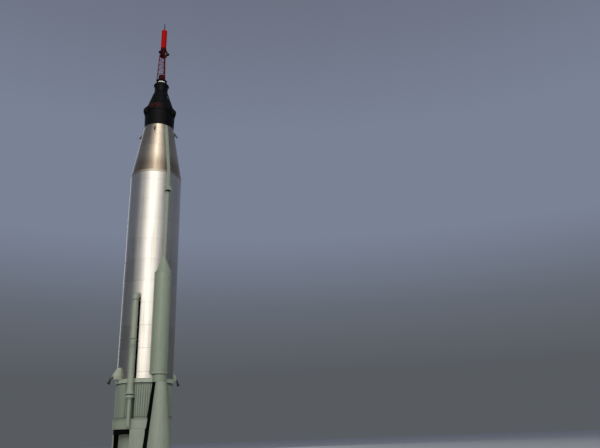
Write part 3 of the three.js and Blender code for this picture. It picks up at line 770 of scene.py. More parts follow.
racewayCuts = {"half": 0.075, "out": 1.585, "flange": 0.028, "start": 11.2, "straps": 6, "strapFrom": 0.45,
               "strapEvery": 0.64, "strap": 0.04, "screws": 26, "screwEvery": 0.155}
coneRaceway = {"half": 0.095, "proud": 0.07, "straps": 6, "strapFrom": 0.25, "strapEvery": 0.5,
               "strap": 0.035, "end": 0.22}
valveCuts = {"half": 0.16, "topHalf": 0.115, "out": 1.76, "topOut": 1.64, "shoulder": 0.09, "rim": 0.022,
             "recess": 0.07, "stubAt": 1.64}


def raceway(side, angle):
    low, high = racewayCuts["start"], ends(f"raceway_{side}")[1]
    half, out, flange = values(racewayCuts, "half", "out", "flange")
    inner, face = skin - 0.044, skin + 0.007
    cover = [(inner, low), (out, low), (out, high - 0.03), (out - 0.02, high), (inner, high)]
    cover = slab(cover, half, 0.014, 3)
    foot = slab(oblong(inner, face, low, high), half + flange, 0.002, 1)
    straps, first, pitch, tall = values(racewayCuts, "straps", "strapFrom", "strapEvery", "strap")
    strap = slab(oblong(inner, out + 0.005, low + first, low + first + tall), half + 0.005, 0.01, 2)
    stacked(strap, straps, z=pitch)
    screws, pitch = values(racewayCuts, "screws", "screwEvery")
    reach = half + flange / 2
    heads = [stacked(rivet(0.006, face, y, low + 0.3), screws, z=pitch) for y in (reach, -reach)]
    body = coated(paleGreen, cover, foot, strap, *heads)
    placed(body, f"raceway{side.title()}", f"raceway_{side}", angle)


def racewayOnCone():
    foot, top = ends("tank_cone")
    low, high = ends("raceway_cone")
    proud, half, thick, end = values(coneRaceway, "proud", "half", "strap", "end")
    radiusAt = taper(skin, foot, coneCuts["topRadius"], top)
    slope = (skin - coneCuts["topRadius"]) / (top - foot)
    parts = [slab([
        (skin - 0.05, low), (skin + proud, low), (skin + proud, foot),
        (radiusAt(high - end) + proud, high - end), (radiusAt(high) + 0.02, high),
        (radiusAt(high) - 0.05, high), (skin - 0.05, foot)], half, 0.014, 3)]
    for index in range(coneRaceway["straps"]):
        height = foot + coneRaceway["strapFrom"] + coneRaceway["strapEvery"] * index
        out = proud + 0.005
        strap = profile(radiusAt(height), height, (-0.03, 0), (out, 0), (out - slope * thick, thick),
                        (-0.03, thick))
        parts.append(slab(strap, half + 0.005, 0.008, 2))
    placed(coated(greyGreen, *parts), "racewayCone", "raceway_cone", 0)


def selectFaces(obj, test):  # leaves it in edit mode with the faces that pass selected
    editAll(obj)
    bpy.ops.mesh.select_all(action="DESELECT")
    bpy.ops.object.mode_set(mode="OBJECT")
    for face in obj.data.polygons:
        face.select = test(face)
    bpy.ops.object.mode_set(mode="EDIT")
    bpy.ops.mesh.select_mode(type="FACE")


def valveFairing():
    low, high = ends("valve_fairing")
    half, topHalf, out, topOut = values(valveCuts, "half", "topHalf", "out", "topOut")
    inner = skin - 0.054
    side = [(inner, low), (out, low), (out, low + valveCuts["shoulder"]), (topOut, high), (inner, high)]
    hood = slab(side, half, 0)
    selectFaces(hood, lambda face: face.normal.z > 0.9)
    bpy.ops.transform.resize(value=(1, topHalf / half, 1), center_override=(0, 0, 0))  # a narrower top
    selectFaces(hood, lambda face: face.normal.z < -0.9)
    bpy.ops.mesh.inset(thickness=valveCuts["rim"])  # the rim of the open underside
    bpy.ops.mesh.extrude_region_move(TRANSFORM_OT_translate={"value": (0, 0, valveCuts["recess"])})
    bpy.ops.object.mode_set(mode="OBJECT")
    coated(greyGreen, softened(hood, 0.012, 2, 25))
    # the inside of the open underside is matt black, a painted shade in the recess
    hood.data.materials.append(mattBlack)
    for face in hood.data.polygons:
        if face.normal.z < -0.5 and face.center.z > low + 0.04:
            face.material_index = 1
    flange = oblong(skin - 0.034, skin + 0.008, low + 0.01, high - 0.02)
    flange = coated(greyGreen, slab(flange, half + 0.03, 0.002, 1))
    stub = profile(0, low, (0, -0.03), (0.05, -0.03), (0.06, -0.018), (0.06, 0.065), (0, 0.065))
    stub = coated(darkMetal, spun(stub, 32, valveCuts["stubAt"]))
    placed(joined(hood, flange, stub), "valveFairing", "valve_fairing", 0)


# Oxidiser line

pipeCuts = {"angle": -52, "at": 1.744, "radius": 0.165, "bend": 0.2, "bendStart": 8.92, "joint": 8.85,
            "midJoint": 6.70, "foot": 4.40, "clamps": [8.1, 7.35, 5.75, 5.0], "bellows": 6.42, "ripples": 6,
            "rippleEvery": 0.045}
flangeCuts = {"out": 0.022, "half": 0.03, "groove": 0.009, "bolts": 16, "coneBolts": 20}
feedCuts = {"radius": 0.10, "bend": 0.13, "joints": [2.62, 3.36], "brackets": [2.38, 3.09],
            "shadowLow": 2.30, "shadowHigh": 3.66}


def pipeFlange(height):
    at, radius = values(pipeCuts, "at", "radius")
    out, half, groove = values(flangeCuts, "out", "half", "groove")
    rim = radius + out
    disc = drum(rim, height - half, height + half, 48, at, 0.003)
    # a black ring in the gap between the flanges: a dark gasket, and painted shade in the gap
    gasketAndShade = drum(rim + 0.001, height - groove, height + groove, 48, at)
    heads = boltRing(flangeCuts["bolts"], radius + out * 0.45, height + half, at=at)
    return joined(coated(paleGreen, disc), coated(mattBlack, gasketAndShade), coated(boltSteel, heads))


def pipeClamp(height):  # a strap round the pipe with two feet on the tank
    at, radius = values(pipeCuts, "at", "radius")
    parts = [spun(ridge(radius - 0.004, height, 0.011, 0.028, 0.03), 40, at)]
    for y in (-radius * 0.68, radius * 0.62):
        low, high = (skin - 0.03, y, height - 0.03), (at - radius * 0.5, y + radius * 0.06, height + 0.03)
        parts.append(block(low, high, 0.003))
    return joined(*parts)


def elbow(radius, bend, start, turn, tail, sides):  # from upright in to the tank
    at = pipeCuts["at"]
    tube = editAll(added(bpy.ops.mesh.primitive_circle_add, vertices=sides, radius=radius, fill_type="NGON",
                         location=(at, 0, start)))
    bpy.ops.mesh.spin(steps=12, angle=radians(turn), center=(at - bend, 0, start), axis=(0, 1, 0))
    bpy.ops.mesh.extrude_region_move(TRANSFORM_OT_translate={"value": (-tail, 0, 0)})
    return cleaned(tube)


def reflectionShadeStrip(low, high):  # a black strip on the tank behind the line, a painted shade for the dark reflection of the pipe's shaded side in the steel
    return coated(mattBlack, strip(skin - 0.002, skin + 0.010, low, high, 14, 8))


def linePiece(body, name, node):
    placed(body, name, node, pipeCuts["angle"])


def oxidiserPipes():
    at, radius, bend, start, joint = values(pipeCuts, "at", "radius", "bend", "bendStart", "joint")
    midJoint, foot = values(pipeCuts, "midJoint", "foot")
    bellows, ripples, pitch = values(pipeCuts, "bellows", "ripples", "rippleEvery")
    level = start + bend
    collar = rod((skin - 0.034, 0, level), (skin + 0.011, 0, level), radius + 0.05, radius + 0.035, 40)
    turn = joined(elbow(radius, bend, start, 90, 0.12, 40), softened(collar, 0.004, 2),
                  drum(radius, joint, start + 0.001, 40, at))
    body = joined(coated(paleGreen, turn), pipeFlange(joint), reflectionShadeStrip(joint + 0.04, start + 0.12))
    linePiece(body, "loxElbow", "lox_elbow")

    clamps = [pipeClamp(height) for height in pipeCuts["clamps"]]
    upper = coated(paleGreen, drum(radius, midJoint, joint - 0.01, 48, at), *clamps[:2])
    body = joined(upper, pipeFlange(midJoint), reflectionShadeStrip(midJoint + 0.04, joint - 0.04))
    linePiece(body, "loxLineUpper", "lox_line_upper")

    outline = [(radius, midJoint - 0.02), (radius, bellows + 0.04)]
    for index in range(ripples):  # a bellows under the joint
        outline += profile(radius, bellows - pitch * index, (-0.004, 0.02), (0.012, 0.008), (0.012, -0.006))
    lower = solid([*outline, (radius, bellows - pitch * ripples), (radius, foot)], 48, at)
    body = joined(coated(paleGreen, lower, *clamps[2:]), reflectionShadeStrip(foot + 0.26, midJoint - 0.04))
    linePiece(body, "loxLineLower", "lox_line_lower")


def oxidiserCone():
    low, high = ends("lox_cone")
    at, radius = values(pipeCuts, "at", "radius")
    shell = solid([*profile(
        0, low, (0.211, 0), (0.215, 0.004), (0.215, 0.126), (0.211, 0.13), (0.190, 0.134), (0.190, 0.174),
        (0.221, 0.18), (0.225, 0.184), (0.225, 0.246), (0.221, 0.25), (0.200, 0.27), (radius + 0.002, 0.60)),
        *profile(radius, high, (0.002, -0.05), (0.012, -0.046), (0.012, 0))], 64, at)
    joints = [spun(oblong(0.18, reach, low + bottom, low + top), 64, at)
              for reach, bottom, top in ((0.194, 0.134, 0.174), (0.209, 0.2505, 0.262))]
    heads = boltRing(flangeCuts["coneBolts"], 0.212, low + 0.249, 0.010, 0.010, at)
    body = joined(coated(paleGreen, shell), coated(boltSteel, heads), coated(mattBlack, *joints))
    linePiece(body, "loxCone", "lox_cone")


def feedPipe():
    at = pipeCuts["at"]
    radius, bend, shadowLow, shadowHigh = values(feedCuts, "radius", "bend", "shadowLow", "shadowHigh")
    low, high = ends("lox_feed_pipe")
    start = low + radius + bend
    outline = [(radius, start - 0.001)]
    for height in feedCuts["joints"]:
        outline += ridge(radius, height, 0.012, 0.026, 0.03)
    outline += profile(radius, high, (0, -0.1), (0.02, -0.09), (0.02, 0))
    parts = [solid(outline, 32, at), elbow(radius, bend, start, -90, 0.06, 28)]
    for height in feedCuts["brackets"]:
        arm = block((skin - 0.024, -0.04, height - 0.03), (at - radius * 0.7, 0.04, height + 0.03), 0.006)
        parts += [arm, spun(ridge(radius - 0.003, height, 0.012, 0.028, 0.03), 32, at)]
    skirt = girth("boost_skirt")
    # a dark green band on the skirt beside the feed pipe, a painted shadow of the pipe
    shadowBand = strip(skirt - 0.06, skirt + 0.002, shadowLow, shadowHigh, 4.6, 4, middle=4.8)
    linePiece(joined(coated(paleGreen, *parts), coated(castShadowGreen, shadowBand)), "loxFeedPipe", "lox_feed_pipe")


# Side engines

sideCuts = {"axis": 4.74, "face": 1.88, "half": 0.13, "top": 5.28, "head": 1.96, "cant": 25, "bore": 0.046,
            "shaft": 0.0445, "knuckle": 0.074, "screws": 7, "screwEvery": 0.085}


def sideFairing(side, angle):
    low = ends(f"vernier_fairing_{side}")[0]
    axis, face, half, top, bore = values(sideCuts, "axis", "face", "half", "top", "bore")
    inner, outer = skin - 0.034, skin + 0.009
    hood = slab([(inner, top), (1.62, top - 0.02), (face - 0.002, top - 0.38), (face - 0.002, axis - 0.05),
                 (1.84, low), (inner, low)], half, 0.014, 3)
    flange = [(inner, low + 0.006), (outer, low + 0.006), (outer, top - 0.01), (inner, top + 0.003)]
    parts = [slab(flange, half + 0.035, 0.002, 1)]
    for sign in (1, -1):
        y = sign * half
        parts.append(block((1.57, y - 0.004, low + 0.06), (1.76, y + 0.004, low + 0.34), 0.002))
        head = rivet(0.006, outer, sign * (half + 0.018), low + 0.06)
        parts.append(stacked(head, sideCuts["screws"], z=sideCuts["screwEvery"]))
    boss = rod((face - 0.03, 0, axis), (face, 0, axis), 0.075, 0.068, 40)
    hole = rod((face - 0.08, 0, axis), (face + 0.02, 0, axis), bore, sides=40)
    cutBy(hood, copied(hole))
    cutBy(boss, hole)
    body = joined(coated(lightGreen, hood, *parts), coated(engineMetal, boss))
    placed(body, f"sideFairing{side.title()}", f"vernier_fairing_{side}", angle)


def sideNozzle(side, angle):
    axis, face, head, shaft, size = values(sideCuts, "axis", "face", "head", "shaft", "knuckle")
    bell = spun([
        (0, -0.05), (0.060, -0.05), (0.062, -0.075), (0.044, -0.118), (0.044, -0.150), (0.058, -0.205),
        (0.066, -0.208), (0.066, -0.222), (0.062, -0.226), (0.078, -0.290), (0.090, -0.330), (0.094, -0.332),
        (0.094, -0.342), (0.086, -0.342), (0.070, -0.275), (0.037, -0.150), (0, -0.14)], 40)
    coated(darkMetal, moved(bell, x=head, z=axis, tilt=-sideCuts["cant"]))
    knuckle = added(bpy.ops.mesh.primitive_uv_sphere_add, segments=32, ring_count=16, radius=size,
                    location=(head, 0, axis), scale=(0.85, 1, 1))
    pin = rod((face - 0.072, 0, axis), (head, 0, axis), shaft, sides=32)
    collar = rod((face + 0.012, 0, axis), (face + 0.032, 0, axis), 0.062, sides=32)
    coated(engineMetal, softened(joined(knuckle, pin, collar), 0.002, 1, 50))
    lines = [rod((face + 0.04, y, axis - 0.02), (head + 0.045, y, axis - 0.13), 0.009)
             for y in (-0.045, 0.045)]
    body = joined(knuckle, bell, coated(boltSteel, *lines))
    placed(body, f"sideNozzle{side.title()}", f"vernier_nozzle_{side}", angle,
           f"side_engine_{side}")


# Main engines

boosterBell = {"exit": 0.05, "exitRadius": 0.574, "throat": 1.33, "throatRadius": 0.205, "wall": 0.025,
               "bolts": 28}
centreBell = {"exit": 0.0203, "exitRadius": 0.60, "throat": 1.42, "throatRadius": 0.15, "wall": 0.025,
              "bolts": 24}
bellCuts = {"steps": 16, "tubes": 72, "tubeShare": 0.62, "rings": [0.14, 0.32, 0.5, 0.7]}
gimbalCuts = {"at": 1.65, "pivot": 1.78, "earIn": 0.095, "earOut": 0.125, "earRadius": 0.045, "hole": 0.021}


def bellParts(bell, top, cap):
    low, throat, narrow = values(bell, "exit", "throat", "throatRadius")
    wall, chamber, shoulder = bell["wall"] - 0.006, narrow + 0.05, throat + 0.11
    rise = throat - low

    def insideAt(height):
        return narrow + (bell["exitRadius"] - narrow) * ((throat - height) / rise) ** 0.7

    heights = [low + rise / bellCuts["steps"] * i for i in range(bellCuts["steps"] + 1)]
    outer = [(insideAt(z) + wall, z) for z in heights]
    inner = [(insideAt(z), z) for z in reversed(heights)]
    shell = solid([(chamber - 0.02, top), (chamber, shoulder), *inner, *outer,
                   (chamber + bell["wall"], shoulder), *cap])
    tubeOutline = [(radius - 0.004, z) for radius, z in reversed(outer[1:])]
    tubeOutline += [(radius + 0.0045, z) for radius, z in outer[1:]]
    span = 360 / bellCuts["tubes"] * bellCuts["tubeShare"]  # coolant tubes, brazed side by side
    tube = around(softened(patch(tubeOutline, span, 2), 0.002, 1, 50), bellCuts["tubes"])
    rings = []
    for share in bellCuts["rings"]:
        height = low + rise * share
        ring = profile(insideAt(height) + wall, height, (-0.012, -0.018), (0.006, -0.014), (0.006, 0.010),
                       (-0.02, 0.018))
        rings.append(spun(ring))
    rim = profile(insideAt(low), low, (-0.001, 0), (wall + 0.006, 0), (wall + 0.006, 0.03),
                  (wall - 0.02, 0.036), (-0.012, 0.03), (-0.001, 0))
    rings.append(spun(rim))
    rings.append(added(bpy.ops.mesh.primitive_torus_add, major_segments=64, minor_segments=14,
                       major_radius=narrow + 0.062, minor_radius=0.028, location=(0, 0, throat + 0.02)))
    return [coated(engineMetal, shell, tube), coated(darkMetal, *rings)]


def boosterEngine(side, angle):
    earIn, earOut, curve, pivot, hole = values(gimbalCuts, "earIn", "earOut", "earRadius", "pivot", "hole")
    headTop, wide = pivot - 0.08, boosterBell["throatRadius"] + 0.075
    cap = profile(wide, headTop, (0, -0.105), (0.008, -0.10), (0.008, -0.075), (0, -0.07), (0, -0.06))
    parts = bellParts(boosterBell, headTop - 0.11, [*cap, (0.15, headTop - 0.004), (0.146, headTop)])
    heads = boltRing(boosterBell["bolts"], wide - 0.016, headTop - 0.062, tall=0.007)
    parts.append(coated(boltSteel, heads))
    cheek = [*arc(0, pivot, curve, 0, 180, 12), (-curve, headTop - 0.01), (curve, headTop - 0.01)]
    for x in (earIn, -earOut):
        ear = softened(raised([(x, y, z) for y, z in cheek], (earOut - earIn, 0, 0)), 0.003, 1)
        cutBy(ear, rod((-0.2, 0, pivot), (0.2, 0, pivot), hole, sides=24))
        parts.append(coated(engineMetal, ear))
    engine = moved(joined(*parts), x=gimbalCuts["at"])
    placed(engine, f"boosterEngine{side.title()}", f"booster_bell_{side}", angle,
           f"engine_{side}")


def centreEngine():
    top, wide = ends("centre_bell")[1], centreBell["throatRadius"] + 0.09
    cap = profile(wide, top, (0, -0.06), (0.008, -0.055), (0.008, -0.03), (-0.03, 0))
    parts = bellParts(centreBell, top - 0.12, cap)
    placed(joined(*parts), "centreEngine", "centre_bell")
    high, radius = ends("centre_cover")[1], girth("centre_cover")
    disc = drum(radius, 0, high, 96, edge=0.004)
    heads = boltRing(centreBell["bolts"], radius - 0.008, high - 0.001, 0.007, 0.006)
    body = joined(coated(darkMetal, disc), coated(boltSteel, heads))
    placed(body, "centreCover", "centre_cover")


# Capsule

adapterCuts = {"footRadius": 0.91, "topRadius": 0.945, "bands": [0.33, 0.62], "beads": 48, "foot": 0.05,
               "rivets": 72}
clampCuts = {"catches": 12, "covers": [-88, 32, 152], "coverHalf": 0.19}
# The fittings are the hatch, the window and a port: start and end as shares of the cone, how far they
# stand out, span and middle in degrees, and finish
capsuleCuts = {"rim": 0.945, "rimTop": 21.52, "neck": 0.43, "tiers": [0.05, 0.345, 0.655, 0.965],
               "panels": 14, "beads": 6,
               "fittings": [(0.08, 0.50, 0.015, 44, 72, blackPaint), (0.105, 0.475, 0.019, 40, 72, shingles),
                            (0.56, 0.76, 0.016, 20, 20, blackPaint),
                            (0.585, 0.735, 0.019, 16, 20, windowGlass),
                            (0.60, 0.72, 0.016, 16, -82, blackPaint)]}


def adapterSkin():
    low, high = ends("adapter")
    foot, top = values(adapterCuts, "footRadius", "topRadius")
    rimHigh = low + adapterCuts["foot"]
    radiusAt = taper(foot, low, top, high)
    outline = [(foot + 0.010, low), (foot + 0.010, rimHigh), (radiusAt(rimHigh + 0.005), rimHigh + 0.005)]
    for rise in adapterCuts["bands"]:
        height = low + rise
        outline += [(radiusAt(height - 0.014), height - 0.014), (radiusAt(height) + 0.004, height - 0.010),
                    (radiusAt(height) + 0.004, height + 0.010), (radiusAt(height + 0.014), height + 0.014)]
    body = solid([*outline, (radiusAt(high), high)], 144)
    points = ((low + 0.08, -0.004), (low + 0.09, 0.005), (high - 0.10, 0.005), (high - 0.09, -0.004))
    bead = patch([(radiusAt(height) + proud, height) for height, proud in points], 1.5, 2)
    around(bead, adapterCuts["beads"])
    heads = rivetRing(adapterCuts["rivets"], foot + 0.010, low + 0.026, 0.005)
    placed(coated(blackPaint, body, bead, heads), "adapterBody", "adapter")


def clampRing():
    middle = ends("adapter")[1]
    hoop = profile(0, middle, (0.946, -0.07), (0.969, -0.07), (0.975, -0.05), (0.975, 0.05), (0.969, 0.07),
                   (0.946, 0.07), (0.946, -0.07))
    hoop = spun(hoop, 144)
    catch = block((0.965, -0.03, middle - 0.03), (0.992, 0.03, middle + 0.03), 0.006)
    around(catch, clampCuts["catches"])
    side = [(0.90, 21.165), (0.962, 21.15), (1.03, 21.235), (1.075, 21.31), (1.085, 21.35), (1.085, 21.54),
            (1.075, 21.59), (1.02, 21.66), (0.86, 21.79)]
    cover = slab(side, clampCuts["coverHalf"], 0.05, 4)
    covers = [stand(copied(cover), angle) for angle in clampCuts["covers"]]
    removed(cover)
    placed(coated(blackPaint, hoop, catch, *covers), "clampHoop", "clamp_ring")


def capsuleCone():
    low, high = ends("capsule_cone")
    rim, rimTop, neck = values(capsuleCuts, "rim", "rimTop", "neck")
    panels, beads, tiers = values(capsuleCuts, "panels", "beads", "tiers")

    def onCone(*points):  # outline points from shares of the way up the cone and how far they stand out
        return [(rim + (neck - rim) * share + proud, rimTop + (high - rimTop) * share)
                for share, proud in points]

    def fitted(start, end, proud, span, middle, finish):
        outline = onCone((start, -0.004), (start, proud), (end, proud), (end, -0.004))
        return coated(finish, softened(patch(outline, span, 10, middle=middle - 90), 0.003, 2))

    parts = [solid([(rim, low), (rim, rimTop - 0.01), (rim - 0.006, rimTop), (neck, high - 0.01),
                    (neck - 0.01, high)], 144)]
    beadSpan = (360 / panels - 4) / beads
    for tier, (start, end) in enumerate(zip(tiers, tiers[1:])):
        start, end, middle = start + 0.012, end - 0.012, tier * 180 / panels
        outline = onCone((start, -0.006), (start, 0.005), (end, 0.005), (end, -0.006))
        shingle = softened(patch(outline, 360 / panels - 1.4, 6, middle=middle), 0.0015, 1)
        outline = onCone((start + 0.02, 0.002), (start + 0.04, 0.011), (end - 0.04, 0.011),
                         (end - 0.02, 0.002))
        bead = softened(patch(outline, beadSpan * 0.45, 1, middle=middle), 0.003, 1, 25)
        around(moved(bead, turn=-beadSpan * (beads - 1) / 2), beads, beadSpan)
        parts += [around(shingle, panels), around(bead, panels)]
    body = joined(coated(shingles, *parts), *[fitted(*cuts) for cuts in capsuleCuts["fittings"]])
    placed(body, "capsuleShell", "capsule_cone")


neckCuts = {"ribs": 5, "ribFrom": 0.048, "ribEvery": 0.058, "joints": 12}
antennaCuts = {"beads": 24, "beadSpan": 2.2, "rivets": 36}


def capsuleNeck():
    low, high = ends("capsule_neck")
    radius = girth("capsule_neck") - 0.006
    outline = [(radius + 0.004, low), (radius + 0.004, low + 0.02)]
    for index in range(neckCuts["ribs"]):
        height = low + neckCuts["ribFrom"] + neckCuts["ribEvery"] * index
        outline += ridge(radius - 0.004, height, 0.008, 0.007, 0.020)
    body = solid([*outline, (radius + 0.004, high - 0.02), (radius + 0.004, high)])
    joint = strip(radius - 0.01, radius + 0.008, low + 0.012, high - 0.012, 3, 2)
    around(joint, neckCuts["joints"])
    placed(coated(shingles, body, joint), "neckBody", "capsule_neck")


def antennaHousing():
    low, high = ends("antenna_housing")
    body = solid([*profile(
        0, low, (0.42, 0), (0.447, 0.085), (0.472, 0.13), (0.484, 0.15), (0.49, 0.165), (0.49, 0.205),
        (0.483, 0.222), (0.452, 0.252), (0.40, 0.297), (0.345, 0.345)), (0.312, high - 0.012), (0.306, high)])
    bead = profile(0, low, (0.462, 0.235), (0.4775, 0.238), (0.336, 0.362), (0.322, 0.362))
    bead = around(patch(bead, antennaCuts["beadSpan"], 1), antennaCuts["beads"])
    lip = strip(0.48, 0.494, low + 0.175, low + 0.193, 359.9, 96)
    heads = rivetRing(antennaCuts["rivets"], 0.436, low + 0.05, 0.005)
    placed(coated(shingles, body, bead, lip, heads), "antennaBody", "antenna_housing")


# Escape tower

towerCuts = {"ring": 0.25, "flange": 0.345, "pot": 0.225, "potTop": 24.40, "footRadius": 0.32,
             "headRadius": 0.222, "leg": 0.029, "brace": 0.011, "turn": -111,
             "levels": [24.52, 24.89, 25.26, 25.63], "ringBolts": 18, "flangeBolts": 18, "lugs": 6}
motorCuts = {"radius": 0.18, "capLow": 28.05, "capRadius": 0.10, "bands": [26.66, 27.30, 28.0],
             "ductTurn": 150, "neckBolts": 12}
chamberCuts = {"angles": [53, -67, 173], "turn": 28, "at": 0.12, "high": 26.50}


def towerRing():
    low, high = ends("tower_ring")
    radius = towerCuts["ring"]
    rim = solid([*profile(radius, low, (0, 0), (0, 0.03), (-0.008, 0.036)),
                 *profile(radius, high, (-0.008, -0.03), (0, -0.024), (0, 0))])
    head = moved(bolt(0.007, 0.007), x=radius - 0.009, z=(low + high) / 2, tilt=90)
    body = joined(coated(white, rim), coated(boltSteel, around(head, towerCuts["ringBolts"])))
    placed(body, "towerRing", "tower_ring")


def towerBase():
    low, high = ends("tower_base")
    floor = ends("tower_truss")[0] - clearance
    flange, pot, top = values(towerCuts, "flange", "pot", "potTop")
    disc = solid([*profile(flange, low, (-0.06, 0), (-0.006, 0.05), (0, 0.06)),
                  *profile(flange, floor, (0, -0.004), (-0.004, 0))], 72)
    can = solid([
        *profile(pot, floor, (0, -0.01), (0, 0.03), (-0.01, 0.036)),
        *profile(pot, top, (-0.01, -0.10), (0, -0.094), (0, -0.03), (-0.009, 0)),
        (0.188, top + 0.028), (0.125, top + 0.078), (0.115, high)], 72)
    lug = block((pot - 0.025, -0.03, floor + 0.10), (pot + 0.011, 0.03, floor + 0.19), 0.006)
    around(lug, towerCuts["lugs"])
    heads = boltRing(towerCuts["flangeBolts"], flange - 0.03, floor)
    body = joined(coated(deepRed, can, lug), coated(blackPaint, disc), coated(boltSteel, heads))
    placed(body, "towerBase", "tower_base")


def towerTruss():
    low, high = ends("tower_truss")
    leg, brace, levels = values(towerCuts, "leg", "brace", "levels")
    levels = [*levels, high - 0.02]
    radiusAt = taper(towerCuts["footRadius"], low, towerCuts["headRadius"], high)

    def corner(height, side):
        way = radians(towerCuts["turn"] + 120 * side - 90)
        return Vector((radiusAt(height) * cos(way), radiusAt(height) * sin(way), height))

    parts = []
    for side in range(3):
        shoe = corner(low, side)
        parts.append(rod(shoe, corner(high, side), leg, sides=20))
        parts.append(rod(shoe, shoe + Vector((0, 0, 0.10)), leg + 0.010, leg + 0.004, 20))
        for level, height in enumerate(levels):
            here, there = corner(height, side), corner(height, side + 1)
            half = Vector((0, 0, 0.028))
            parts.append(rod(here, there, brace))
            parts.append(rod(here - half, here + half, leg + 0.005, leg + 0.004, 16))
            if level > 0:
                below, belowNext = (corner(levels[level - 1], at) for at in (side, side + 1))
                for start, end in ((below, there), (here, belowNext)):
                    parts.append(rod(start, end, brace * 0.85, sides=10))
    # the truss takes the darkened maroon, its own red plus painted shade
    placed(coated(maroonWithShade, *parts), "towerTruss", "tower_truss")


def nozzleBlock():
    low, high = ends("nozzle_block")
    radius = motorCuts["radius"]
    neck = solid([
        *profile(0, low, (0.248, 0), (0.248, 0.010), (0.241, 0.014), (0.241, 0.030), (0.248, 0.034),
                 (0.244, 0.045), (0.14, 0.115), (0.137, 0.135), (0.137, 0.37), (0.143, 0.385)),
        (radius - 0.004, low + 0.535), (radius, low + 0.545),
        *profile(radius, high, (0, -0.03), (-0.004, -0.026), (-0.004, 0))], 72)
    heads = boltRing(motorCuts["neckBolts"], 0.228, low + 0.052, 0.007, 0.007)
    placed(joined(coated(deepRed, neck), coated(darkMetal, heads)), "nozzleBlock", "nozzle_block")


def escapeMotor():
    low, high = ends("escape_motor")
    radius, capLow, capRadius = values(motorCuts, "radius", "capLow", "capRadius")
    outline = [(radius, low)]
    for height in motorCuts["bands"]:
        outline += ridge(radius, height, 0.005, 0.022, 0.026)
    case = solid([*outline, (radius, capLow - 0.012), *arc(radius - 0.02, capLow - 0.01, 0.02, 0, 70, 4),
                  (capRadius + 0.006, high - 0.004), (capRadius, high)], 72)
    duct = block((radius - 0.004, -0.018, low + 0.12), (radius + 0.014, 0.018, capLow - 0.09), 0.005)
    placed(coated(redPaint, case, stand(duct, motorCuts["ductTurn"])), "escapeMotor", "escape_motor")


def noseSpike():
    low, high = ends("nose_spike")
    lower = profile(0, low, (0.040, 0), (0.040, 0.012), (0.034, 0.02), (0.031, 0.14), (0.034, 0.142),
                    (0.034, 0.155), (0.030, 0.157))
    upper = [(0, low + 0.15), (0.030, low + 0.157), (0.018, high - 0.015), (0.012, high - 0.004), (0, high)]
    body = joined(coated(redPaint, solid(lower, 40)), coated(blackPaint, spun(upper, 40)))
    placed(body, "noseSpike", "nose_spike")


def escapeNozzle(index, angle):
    chamber = solid([
        (0.076, 0), (0.082, -0.008), (0.082, -0.104), (0.078, -0.114), (0.060, -0.150), (0.058, -0.170),
        (0.070, -0.234), (0.078, -0.236), (0.078, -0.254), (0.075, -0.256), (0.079, -0.284)], 48)
    skirt = spun([
        (0.067, -0.280), (0.079, -0.284), (0.106, -0.405), (0.110, -0.408), (0.110, -0.430), (0.099, -0.430),
        (0.072, -0.30), (0.050, -0.20), (0, -0.19), (0, -0.20), (0.046, -0.21), (0.067, -0.280)], 48)
    turn, at, high = values(chamberCuts, "turn", "at", "high")
    bell = moved(joined(coated(deepRed, chamber), coated(darkMetal, skirt)), x=at, z=high, tilt=-turn)
    placed(bell, f"escapeNozzle{index}", f"escape_nozzle_{index}", angle)


# Lugs and what stays as the frame's own nodes

lugCuts = {"angles": [48.5, 138.5, -131.5, -41.5], "half": 0.014, "eye": 0.020, "eyeAt": (1.185, 19.765),
           "pad": 0.06}


def eyeLug(index, angle):
    eyeX, eyeZ = lugCuts["eyeAt"]
    eye = lugCuts["eye"]
    arm = slab([(0.95, 19.90), (1.01, 19.90), (1.135, 19.735), *arc(eyeX, eyeZ, 0.047, -130, 40, 10),
                (1.00, 20.12), (0.94, 20.14)], lugCuts["half"], 0.003)
    cutBy(arm, rod((eyeX, -0.05, eyeZ), (eyeX, 0.05, eyeZ), eye, sides=24))
    pad = slab([(0.96, 19.87), (1.015, 19.87), (0.968, 20.16), (0.91, 20.16)], lugCuts["pad"])
    body = joined(coated(darkMetal, arm), coated(greyGreen, pad))
    placed(body, f"eyeLug{index}", f"stay_lug_{index}", angle)


def keptNodes():
    for side in frontRear:
        kept = {"nacelle_root": mattBlack, "gimbal_bracket": darkMetal, "gimbal_cross": boltSteel}
        for name, finish in kept.items():
            coated(finish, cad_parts[f"{name}_{side}"])


print("tank")
tankSkin()
tankConeSkin()
endRing()
print("booster section")
boostSkirt()
boostBand()
heatShield()
for side, angle in leftRight.items():
    bayWall(side, angle)
print("nacelles, pods and raceways")
for side, angle in frontRear.items():
    nacelle(side, angle)
    pod(side, angle)
    podFoot(side, angle)
    raceway(side, angle)
racewayOnCone()
valveFairing()
print("oxidiser line and engines")
oxidiserPipes()
oxidiserCone()
feedPipe()
for side, angle in leftRight.items():
    sideFairing(side, angle)
    sideNozzle(side, angle)
for side, angle in frontRear.items():
    boosterEngine(side, angle)
centreEngine()
print("capsule and tower")
adapterSkin()
clampRing()
capsuleCone()
capsuleNeck()
antennaHousing()
towerRing()
towerBase()
towerTruss()
nozzleBlock()
escapeMotor()
noseSpike()
for index, angle in enumerate(chamberCuts["angles"], 1):
    escapeNozzle(index, angle)
for index, angle in enumerate(lugCuts["angles"], 1):
    eyeLug(index, angle)
keptNodes()


# Floor, light and camera

